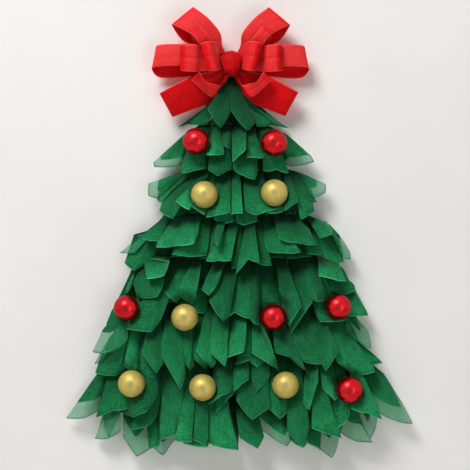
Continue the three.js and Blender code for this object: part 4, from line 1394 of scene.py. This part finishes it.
def curve_through(stations, steps):
    """Spots on a smooth curve through all the stations, its ends included."""
    spots = []
    last = len(stations) - 1
    for number in range(last):
        before = stations[max(0, number - 1)]
        start = stations[number]
        end = stations[number + 1]
        after = stations[min(last, number + 2)]
        for step in range(steps):
            share = step / steps
            spots.append(tuple(
                0.5 * (2 * b + (c - a) * share + (2 * a - 5 * b + 4 * c - d) * share ** 2
                       + (3 * b - a - 3 * c + d) * share ** 3)
                for a, b, c, d in zip(before, start, end, after)
            ))
    spots.append(tuple(stations[last]))
    return spots


def mirrored(stations, side, grow_across, grow_down):
    """The left stations, or their mirror image moved a little, more so further from the knot."""
    if side < 0:
        return stations
    spots = []
    for ax, ay, bx, by, out_a, out_b in stations:
        share_a = min(1, (BOW_MIDDLE - ax) / GROW_SPAN)
        share_b = min(1, (BOW_MIDDLE - bx) / GROW_SPAN)
        spots.append((
            2 * BOW_MIDDLE - ax + grow_across * share_a, ay + grow_down * share_a,
            2 * BOW_MIDDLE - bx + grow_across * share_b, by + grow_down * share_b, out_a, out_b,
        ))
    return spots


def ribbon_columns(stations, width, crease, pale, swell):
    """A loop's columns of spots, and the values that its strip takes."""
    columns = []
    maps = []
    edges = []
    painted_shades = []
    painted_light_fronts = []
    along = 0
    before = None
    shares = [step / RIBBON_ACROSS for step in range(RIBBON_ACROSS + 1)]
    along_scale, across_scale, place_scale = WAVE_SCALES
    widest = max(
        (spot(ax, ay, out_a * MM) - spot(bx, by, out_b * MM)).length
        for ax, ay, bx, by, out_a, out_b in stations
    )
    curve = curve_through(stations, RIBBON_STEPS)
    for number, (ax, ay, bx, by, out_a, out_b) in enumerate(curve):
        front = min(1, max(0, (FRONT_END - number / (len(curve) - 1)) / FRONT_FADE))
        first = spot(ax, ay, out_a * MM)
        second = spot(bx, by, out_b * MM)
        across = (second - first).length
        tight = min(1, max(0, TIGHT_FROM - across / widest)) ** TIGHT_CURVE
        middle = (first + second) / 2
        if before is not None:
            along += (middle - before).length
        before = middle
        column = []
        for share in shares:
            place = first.lerp(second, share)
            crown = swell * (1 - abs(2 * share - 1) ** CROWN_CURVE) * (1 - tight)
            valley = crease * math.exp(-((share - 0.5) / CREASE_WIDTH) ** 2) * (1 - tight)
            pleat = PLEATS * tight * math.cos(share * math.tau * PLEAT_WAVES)
            sample = Vector((along * along_scale, share * across_scale, ax * place_scale))
            wave = noise.noise(sample) * WAVE_HEIGHT * MM
            place.y -= crown + pleat + wave - valley
            column.append(place)
        columns.append(column)
        maps.append([(along, (share - 0.5) * width) for share in shares])
        edges.append([
            min(step, RIBBON_ACROSS - step) / RIBBON_ACROSS * across for step in range(RIBBON_ACROSS + 1)
        ])
        # Painted shade: the ribbon is darker where it is drawn in at the knot.
        painted_shades.append([lerp(1, PLEAT_PAINTED_SHADE, tight ** PAINTED_SHADE_CURVE)] * len(shares))
        # Painted light on the front, fading where the ribbon is drawn in.
        painted_light_fronts.append([pale * front * (1 - tight)] * len(shares))
    return columns, {"map": maps, "hem_distance": edges, "tone": painted_shades, "pale": painted_light_fronts}


def join_meshes(name, meshes):
    """One object from several meshes that have the same layers."""
    pieces = [link(f"{name}_{number}", mesh) for number, mesh in enumerate(meshes)]
    whole = pieces[0]
    if len(pieces) > 1:
        with bpy.context.temp_override(
            active_object=whole, object=whole,
            selected_objects=pieces, selected_editable_objects=pieces,
        ):
            bpy.ops.object.join()
    whole.name = name
    whole.data.name = name
    return whole


def tie_loops(node, loops, width, look):
    """Makes the loops of one length of ribbon."""
    meshes = []
    for number, (stations, side, grow_across, grow_down, crease, pale) in enumerate(loops):
        stations = mirrored(stations, side, grow_across, grow_down)
        columns, attributes = ribbon_columns(stations, width, crease, pale, look.swell)
        mesh = strip_mesh(f"{node}_{number}", columns, attributes, set())
        mesh.materials.append(ribbon_material())
        meshes.append(mesh)
    piece = join_meshes(f"{node}_ribbon", meshes)
    thicken(piece, look.thickness)
    belong(piece, BODY, [node])


def weld(mesh):
    """Closes a band whose two ends lie on each other."""
    work = bmesh.new()
    work.from_mesh(mesh)
    bmesh.ops.remove_doubles(work, verts=work.verts, dist=KNOT_WELD)
    work.to_mesh(mesh)
    work.free()


def knot_span(up):
    """How wide the knot is this far up, as a share of its widest."""
    if up > KNOT_TOP_FROM:
        share = ((up - KNOT_TOP_FROM) / (1 - KNOT_TOP_FROM)) ** KNOT_TOP_CURVE
        return lerp(1, KNOT_TOP_SPAN, share)
    return lerp(KNOT_FOOT_SPAN, 1, min(1, max(0, (up - KNOT_FOOT_FROM) / KNOT_FOOT_REACH)))


def squarer(value):
    """Makes a circle's sine or cosine that of a rounded square."""
    return math.copysign(abs(value) ** KNOT_SQUARE, value)


def tie_knot():
    """The short band round the middle of the bow."""
    low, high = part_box("bow_knot")
    top = spot(0, KNOT_TOP, KNOT_FORWARD).z
    bottom = spot(0, KNOT_BOTTOM, KNOT_FORWARD).z
    left = spot(KNOT_LEFT, KNOT_ROW, KNOT_FORWARD).x
    right = spot(KNOT_RIGHT, KNOT_ROW, KNOT_FORWARD).x
    middle = Vector(((left + right) / 2, (low.y + high.y) / 2, (top + bottom) / 2))
    half_tall = (top - bottom) / 2
    half_deep = (high.y - low.y) / 2
    spots_around = KNOT_AROUND + 1
    rows = []
    maps = []
    edges = []
    for step in range(KNOT_ACROSS + 1):
        share = step / KNOT_ACROSS
        tuck = 1 - KNOT_TUCK * abs(2 * share - 1) ** KNOT_TUCK_CURVE
        column = []
        for turn in range(spots_around):
            angle = math.tau * turn / KNOT_AROUND + math.pi
            up = squarer(math.sin(angle))
            out = squarer(math.cos(angle))
            side = (share - 0.5) * (right - left) * knot_span(up)
            wave = share * math.tau * KNOT_FOLDS + KNOT_FOLD_LEAN * up + KNOT_FOLD_START
            fold = KNOT_FOLD * math.cos(wave)
            deep = (half_deep + KNOT_PROUD) * out * tuck + fold * out
            tall = half_tall * up * tuck + fold * up
            column.append(Vector((middle.x + side, middle.y - deep, middle.z + tall)))
        rows.append(column)
        maps.append([
            (share * KNOT_BAND * MM, turn / KNOT_AROUND * KNOT_LENGTH * MM)
            for turn in range(spots_around)
        ])
        edges.append([min(share, 1 - share) * KNOT_BAND * MM] * spots_around)
    # Painted shade: the whole knot is darker.
    painted_shades = [[KNOT_PAINTED_SHADE] * spots_around for _ in rows]
    attributes = {"map": maps, "hem_distance": edges, "tone": painted_shades}
    mesh = strip_mesh("bow_knot_band", rows, attributes, set())
    weld(mesh)
    mesh.materials.append(ribbon_material())
    piece = link("bow_knot_band", mesh)
    thicken(piece, KNOT_THICKNESS)
    belong(piece, BODY, ["bow_knot"])


# Baubles

# Rings of the moulded dimple: share of its radius, how deep in millimetres, and how strongly the dark
# reflection is painted there.
DIMPLE_RINGS = [(0.3, 0.5, 1), (0.55, 0.42, 0.9), (0.8, 0.26, 0.65), (1.05, 0.1, 0.3), (1.35, 0, 0)]
DIMPLE_DEPTH = 0.5 * MM

# A ball: its rows and segments, and the neck that the cap covers.
BALL_ROWS = 38
BALL_SEGMENTS = 72
NECK_RADIUS = 5 * MM
NECK_WALL = 0.6 * MM
NECK_DEPTH = 3 * MM

# A cap: its wall, its crown and the shares at which that rounds off, and its flared lip.
CAP_SEGMENTS = 48
CAP_WALL = 0.8 * MM
CROWN_DEPTH = 1.8 * MM
CROWN_GAP = 0.5 * MM
CROWN_SHARE = 0.55
SHOULDER_SHARE = 0.86
SHOULDER_DROP = 0.35 * MM
CROWN_ROUNDING = 1.4 * MM
LIP_DEPTH = 0.8 * MM
LIP_SHARE = 1.02

# A cap's crimps, which are long beads sunk in its skirt, and its wire ring.
CRIMP_RADIUS = 0.5 * MM
CRIMP_SINK = 0.05 * MM
CRIMP_DEPTH = 1.3 * MM
CRIMP_STRETCH = (1, 2.2, 1)
CRIMP_SEGMENTS = 8
CRIMP_ROWS = 5
RING_RADIUS = 3 * MM
RING_WIRE = 1 * MM
RING_STEPS = 40
RING_SIDES = 10


def lathe_forward(name, profile, middle, segments, painted_reflections=None):
    """Turns a profile of radius and forward spots about a line that points out of the door."""
    points = []
    faces = []
    values = []
    rings = []
    for number, (radius, forward) in enumerate(profile):
        value = painted_reflections[number] if painted_reflections else 0
        if radius == 0:
            rings.append([len(points)])
            points.append((middle.x, middle.y - forward, middle.z))
            values.append(value)
            continue
        ring = []
        for step in range(segments):
            angle = math.tau * step / segments
            ring.append(len(points))
            across = radius * math.cos(angle)
            up = radius * math.sin(angle)
            points.append((middle.x + across, middle.y - forward, middle.z + up))
            values.append(value)
        rings.append(ring)
    for first, second in zip(rings, rings[1:]):
        for step in range(segments):
            after = (step + 1) % segments
            if len(first) == 1:
                faces.append((first[0], second[after], second[step]))
            elif len(second) == 1:
                faces.append((first[step], first[after], second[0]))
            else:
                faces.append((first[step], first[after], second[after], second[step]))
    mesh = bpy.data.meshes.new(name)
    mesh.from_pydata(points, [], faces)
    layer = mesh.attributes.new("mark", "FLOAT", "POINT")
    layer.data.foreach_set("value", values)
    smooth(mesh)
    return mesh


def outward(mesh):
    """Turns all the faces of a closed mesh outward."""
    work = bmesh.new()
    work.from_mesh(mesh)
    bmesh.ops.recalc_face_normals(work, faces=work.faces)
    work.to_mesh(mesh)
    work.free()


def hang_ball(number, look):
    """Makes a ball with its moulded dimple in front, where a dark reflection is painted, and its neck at
    the back.
    """
    node = f"ball_{number}"
    low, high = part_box(node)
    radius = (high.x - low.x) / 2
    middle = Vector(((low.x + high.x) / 2, low.y + radius, (low.z + high.z) / 2))
    profile = [(0, radius - DIMPLE_DEPTH)]
    painted_reflections = [1]
    for share, sink, mark in DIMPLE_RINGS:
        ring = look.dimple * share
        profile.append((ring, math.sqrt(radius ** 2 - ring ** 2) - sink * MM))
        painted_reflections.append(mark)
    start = math.asin(look.dimple * DIMPLE_RINGS[-1][0] / radius)
    end = math.pi - math.asin(NECK_RADIUS / radius)
    for step in range(1, BALL_ROWS + 1):
        angle = lerp(start, end, step / BALL_ROWS)
        profile.append((radius * math.sin(angle), radius * math.cos(angle)))
        painted_reflections.append(0)
    back = middle.y - high.y
    bore = NECK_RADIUS - NECK_WALL
    neck = [(NECK_RADIUS, back), (bore, back), (bore, back + NECK_DEPTH), (0, back + NECK_DEPTH)]
    profile.extend(neck)
    painted_reflections.extend([0] * len(neck))
    mesh = lathe_forward(f"{node}_glass", profile, middle, BALL_SEGMENTS, painted_reflections)
    outward(mesh)
    red = "red" in frame_slot(node)
    mesh.materials.append(red_ball_material() if red else gold_ball_material())
    piece = link(f"{node}_glass", mesh)
    belong(piece, f"bauble_{number}", [node])


def frame_slot(node):
    """The material slot that the record gives a node."""
    for part in frame["record"]["subparts"]:
        if part["node"] == node:
            return part["material_slot"]
    raise RuntimeError(f"{node} has no material slot")


def cap_tree():
    """Crimps round a cap's skirt and the wire ring in its crown, added to the pressed cap."""
    name = "Cap Crimps and Ring"
    if name in bpy.data.node_groups:
        return bpy.data.node_groups[name]
    tree = bpy.data.node_groups.new(name, "GeometryNodeTree")
    for label, kind in (
        ("Geometry", "NodeSocketGeometry"), ("Crimps", "NodeSocketInt"),
        ("Crimp Radius", "NodeSocketFloat"), ("Skirt Radius", "NodeSocketFloat"),
        ("Ring Radius", "NodeSocketFloat"), ("Ring Wire", "NodeSocketFloat"),
        ("Skirt Place", "NodeSocketVector"), ("Ring Place", "NodeSocketVector"),
        ("Metal", "NodeSocketMaterial"),
    ):
        tree.interface.new_socket(label, in_out="INPUT", socket_type=kind)
    tree.interface.new_socket("Geometry", in_out="OUTPUT", socket_type="NodeSocketGeometry")
    sheet = NodeSheet(tree)
    start = sheet.add("NodeGroupInput").outputs
    end = sheet.add("NodeGroupOutput").inputs
    circle = sheet.add("GeometryNodeMeshCircle", {
        "Vertices": start["Crimps"], "Radius": start["Skirt Radius"],
    })
    stood = sheet.add("GeometryNodeTransform", {
        "Geometry": circle.outputs[0], "Translation": start["Skirt Place"],
        "Rotation": (math.pi / 2, 0, 0),
    })
    bead = sheet.add("GeometryNodeMeshUVSphere", {
        "Segments": CRIMP_SEGMENTS, "Rings": CRIMP_ROWS, "Radius": start["Crimp Radius"],
    })
    long_bead = sheet.add("GeometryNodeTransform", {"Geometry": bead.outputs[0], "Scale": CRIMP_STRETCH})
    crimps = sheet.add("GeometryNodeInstanceOnPoints", {
        "Points": stood.outputs[0], "Instance": long_bead.outputs[0],
    })
    loop = sheet.add("GeometryNodeCurvePrimitiveCircle", {
        "Resolution": RING_STEPS, "Radius": start["Ring Radius"],
    })
    half_wire = sheet.math("MULTIPLY", start["Ring Wire"], 0.5)
    section = sheet.add("GeometryNodeCurvePrimitiveCircle", {
        "Resolution": RING_SIDES, "Radius": half_wire,
    })
    swept = sheet.add("GeometryNodeCurveToMesh", {
        "Curve": loop.outputs[0], "Profile Curve": section.outputs[0],
    })
    ring = sheet.add("GeometryNodeTransform", {
        "Geometry": swept.outputs[0], "Translation": start["Ring Place"],
    })
    joined = sheet.add("GeometryNodeJoinGeometry")
    for part in (ring, crimps):
        tree.links.new(part.outputs[0], joined.inputs[0])
    tree.links.new(start["Geometry"], joined.inputs[0])
    whole = sheet.add("GeometryNodeRealizeInstances", {"Geometry": joined.outputs[0]})
    rounded = sheet.add("GeometryNodeSetShadeSmooth", {"Geometry": whole.outputs[0]})
    painted = sheet.add("GeometryNodeSetMaterial", {
        "Geometry": rounded.outputs[0], "Material": start["Metal"],
    })
    tree.links.new(painted.outputs[0], end[0])
    return tree


def set_inputs(modifier, values):
    """Sets a node tree's inputs by their sockets' identifiers."""
    for item in modifier.node_group.interface.items_tree:
        if item.item_type == "SOCKET" and item.in_out == "INPUT" and item.name in values:
            modifier[item.identifier] = values[item.name]


def hang_cap(number, look):
    """Makes a pressed cap with its crimps and its ring."""
    node = f"ball_cap_{number}"
    low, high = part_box(node)
    hinge = Vector(((low.x + high.x) / 2, 0, (low.z + high.z) / 2))
    outside = (high.x - low.x) / 2
    inside = outside - CAP_WALL
    skirt = -low.y
    ring_middle = -high.y + RING_WIRE / 2 + RING_RADIUS
    crown = ring_middle + RING_RADIUS - RING_WIRE / 2 - CROWN_GAP
    profile = [
        (0, crown), (outside * CROWN_SHARE, crown), (outside * SHOULDER_SHARE, crown + SHOULDER_DROP),
        (outside, crown + CROWN_ROUNDING), (outside, skirt - LIP_DEPTH), (outside * LIP_SHARE, skirt),
        (inside, skirt), (inside, crown + CROWN_DEPTH), (0, crown + CROWN_DEPTH),
    ]
    mesh = lathe_forward(f"{node}_metal", profile, hinge, CAP_SEGMENTS)
    outward(mesh)
    piece = link(f"{node}_metal", mesh)
    modifier = piece.modifiers.new("Crimps and Ring", "NODES")
    modifier.node_group = cap_tree()
    set_inputs(modifier, {
        "Crimps": look.crimps,
        "Crimp Radius": CRIMP_RADIUS,
        "Skirt Radius": outside - CRIMP_SINK,
        "Ring Radius": RING_RADIUS,
        "Ring Wire": RING_WIRE,
        "Skirt Place": (hinge.x, -skirt + CRIMP_DEPTH, hinge.z),
        "Ring Place": (hinge.x, -ring_middle, hinge.z),
        "Metal": cap_material(),
    })
    bake(piece)
    belong(piece, f"bauble_{number}", [node])


# Wires


def paint(node, material):
    """Gives a piece of the frame its own material."""
    for slot in frame["nodes"][node].material_slots:
        slot.material = material


# Stage

# Wall and floor: half their width, the wall's height, the floor's depth for that half, and colours.
WALL_HALF = 3.2
WALL_TOP = 1.6
FLOOR_SHARE = 1.4
WALL_COLOUR = (0.80, 0.79, 0.77, 1)
FLOOR_COLOUR = (0.78, 0.77, 0.75, 1)

# How bright the world looks to the camera and in reflections.
SEEN_WORLD = 0.9

# Lights: name, place, side, and the setting that holds its power. All shine at one spot.
LIGHTS_AIM = (0, 0, -0.25)
LIGHTS = (
    ("key_light", (-0.9, -1.8, 1.7), 1.1, "key"),
    ("fill_light", (1.2, -2.4, -0.6), 1.4, "fill"),
    ("back_light", (0.5, 2.2, 0.7), 1.4, "back"),
)


def light_area(name, place, side, power):
    """A square light that shines at the lights' common spot."""
    lamp = bpy.data.lights.new(name, "AREA")
    lamp.shape = "RECTANGLE"
    lamp.size = side
    lamp.size_y = side
    lamp.energy = power
    lamp_object = link(name, lamp)
    lamp_object.location = place
    aim = Vector(LIGHTS_AIM) - Vector(place)
    lamp_object.rotation_euler = aim.to_track_quat("-Z", "Y").to_euler()


def plane(name, corners, material):
    mesh = bpy.data.meshes.new(name)
    mesh.from_pydata(corners, [], [(0, 1, 2, 3)])
    mesh.materials.append(material)
    return link(name, mesh)


def wall_material(name, colour):
    """Pale plaster, seen only from its front, which lets the lamp behind it through."""
    material, sheet, shader = new_material(name)
    clouds = mottle(sheet, object_place(sheet), scale=5, low=0.98, high=1.02)
    sheet.feed(shader.inputs["Base Color"], shade(sheet, colour, clouds))
    set_values(shader, {"Roughness": 0.9})
    clear = sheet.add("ShaderNodeBsdfTransparent")
    back = sheet.add("ShaderNodeNewGeometry").outputs["Backfacing"]
    lit = sheet.add("ShaderNodeLightPath").outputs["Is Shadow Ray"]
    choice = sheet.add("ShaderNodeMixShader", {
        0: sheet.math("MAXIMUM", back, lit), 1: shader.outputs[0], 2: clear.outputs[0],
    })
    output = next(node for node in material.node_tree.nodes if node.type == "OUTPUT_MATERIAL")
    sheet.feed(output.inputs[0], choice.outputs[0])
    return material


# Operators


class DressWires(bpy.types.Operator):
    """Gives the frame, the bail and the ties their green enamel"""

    bl_idname = "door_tree.dress_wires"
    bl_label = "Wires"

    def execute(self, context):
        for part in frame["record"]["subparts"]:
            if part["material_slot"] == "green_wire":
                paint(part["node"], wire_material())
        return {"FINISHED"}


class HangBaubles(bpy.types.Operator):
    """Makes the twelve baubles with their caps and rings"""

    bl_idname = "door_tree.hang_baubles"
    bl_label = "Baubles"

    def execute(self, context):
        look = settings("door_tree_baubles")
        for number in range(1, BAUBLES + 1):
            hang_ball(number, look)
            hang_cap(number, look)
        return {"FINISHED"}


class FoldCloth(bpy.types.Operator):
    """Folds the peak flap and the seven tiers of cloth"""

    bl_idname = "door_tree.fold_cloth"
    bl_label = "Cloth Tiers"

    def execute(self, context):
        look = settings("door_tree_cloth")
        places = bauble_places()
        for node, carrier, folds, lining_hem in CLOTH_TIERS:
            fold_tier(node, carrier, folds, look, places, lining_hem)
        return {"FINISHED"}


class TieBow(bpy.types.Operator):
    """Makes the bow's large and small loops and its knot"""

    bl_idname = "door_tree.tie_bow"
    bl_label = "Ribbon Bow"

    def execute(self, context):
        look = settings("door_tree_bow")
        for node, loops in BOW_RINGS:
            width = look.large_width if node.startswith("large") else look.small_width
            tie_loops(node, loops, width, look)
        tie_knot()
        return {"FINISHED"}


class LightStage(bpy.types.Operator):
    """Sets up the pale wall and floor, the lights and the camera"""

    bl_idname = "door_tree.light_stage"
    bl_label = "Stage"

    def execute(self, context):
        look = settings("door_tree_stage")
        scene = context.scene
        wide = WALL_HALF
        floor = look.floor_height
        front = -wide * FLOOR_SHARE
        gap = look.wall_gap
        wall = plane(
            "pale_wall",
            [(-wide, gap, floor), (wide, gap, floor), (wide, gap, WALL_TOP), (-wide, gap, WALL_TOP)],
            wall_material("Pale Wall", WALL_COLOUR),
        )
        ground = plane(
            "pale_floor",
            [(-wide, front, floor), (wide, front, floor), (wide, gap, floor), (-wide, gap, floor)],
            wall_material("Pale Floor", FLOOR_COLOUR),
        )
        for name, place, side, power in LIGHTS:
            light_area(name, place, side, getattr(look, power))
        world = bpy.data.worlds.new("Soft World")
        world.use_nodes = True
        sheet = NodeSheet(world.node_tree)
        light = next(node for node in world.node_tree.nodes if node.type == "BACKGROUND")
        light.inputs["Color"].default_value = (1, 1, 1, 1)
        path = sheet.add("ShaderNodeLightPath").outputs
        seen = sheet.math("MAXIMUM", path["Is Camera Ray"], path["Is Transmission Ray"])
        seen = sheet.math("MAXIMUM", seen, path["Is Glossy Ray"])
        strength = sheet.math("ADD", look.world, sheet.math("MULTIPLY", seen, SEEN_WORLD - look.world))
        sheet.feed(light.inputs["Strength"], strength)
        scene.world = world
        camera = bpy.data.cameras.new("photo_camera")
        camera.sensor_width = SENSOR
        camera.sensor_fit = "HORIZONTAL"
        camera.lens = SENSOR * CAMERA_DISTANCE / (VIEW_SIDE * PIXEL)
        camera_object = link("photo_camera", camera)
        camera_object.location = (VIEW_X, -CAMERA_DISTANCE, VIEW_Z)
        camera_object.rotation_euler = (math.pi / 2, 0, 0)
        scene.camera = camera_object
        scene.view_settings.view_transform = "Standard"
        return {"FINISHED"}


OPERATORS = (DressWires, HangBaubles, FoldCloth, TieBow, LightStage)
GROUPS = {
    "door_tree_cloth": ClothSettings,
    "door_tree_bow": BowSettings,
    "door_tree_baubles": BaubleSettings,
    "door_tree_wires": WireSettings,
    "door_tree_stage": StageSettings,
}


class DoorTreePanel(bpy.types.Panel):
    """Lists the makers of the tree's pieces and their settings"""

    bl_idname = "VIEW3D_PT_door_tree"
    bl_label = "Door Tree"
    bl_space_type = "VIEW_3D"
    bl_region_type = "UI"
    bl_category = "Door Tree"

    def draw(self, context):
        for operator in OPERATORS:
            self.layout.operator(operator.bl_idname)
        for name, group in GROUPS.items():
            box = self.layout.box()
            for field in group.__annotations__:
                box.prop(getattr(context.scene, name), field)


def register():
    for name, group in GROUPS.items():
        bpy.utils.register_class(group)
        setattr(bpy.types.Scene, name, PointerProperty(type=group))
    for kind in (*OPERATORS, DoorTreePanel):
        bpy.utils.register_class(kind)


def unregister():
    for kind in (DoorTreePanel, *reversed(OPERATORS)):
        bpy.utils.unregister_class(kind)
    for name, group in GROUPS.items():
        delattr(bpy.types.Scene, name)
        bpy.utils.unregister_class(group)


def main():
    register()
    bpy.ops.door_tree.light_stage()
    bpy.ops.door_tree.dress_wires()
    bpy.ops.door_tree.hang_baubles()
    bpy.ops.door_tree.fold_cloth()
    bpy.ops.door_tree.tie_bow()


if __name__ == "__main__":
    main()
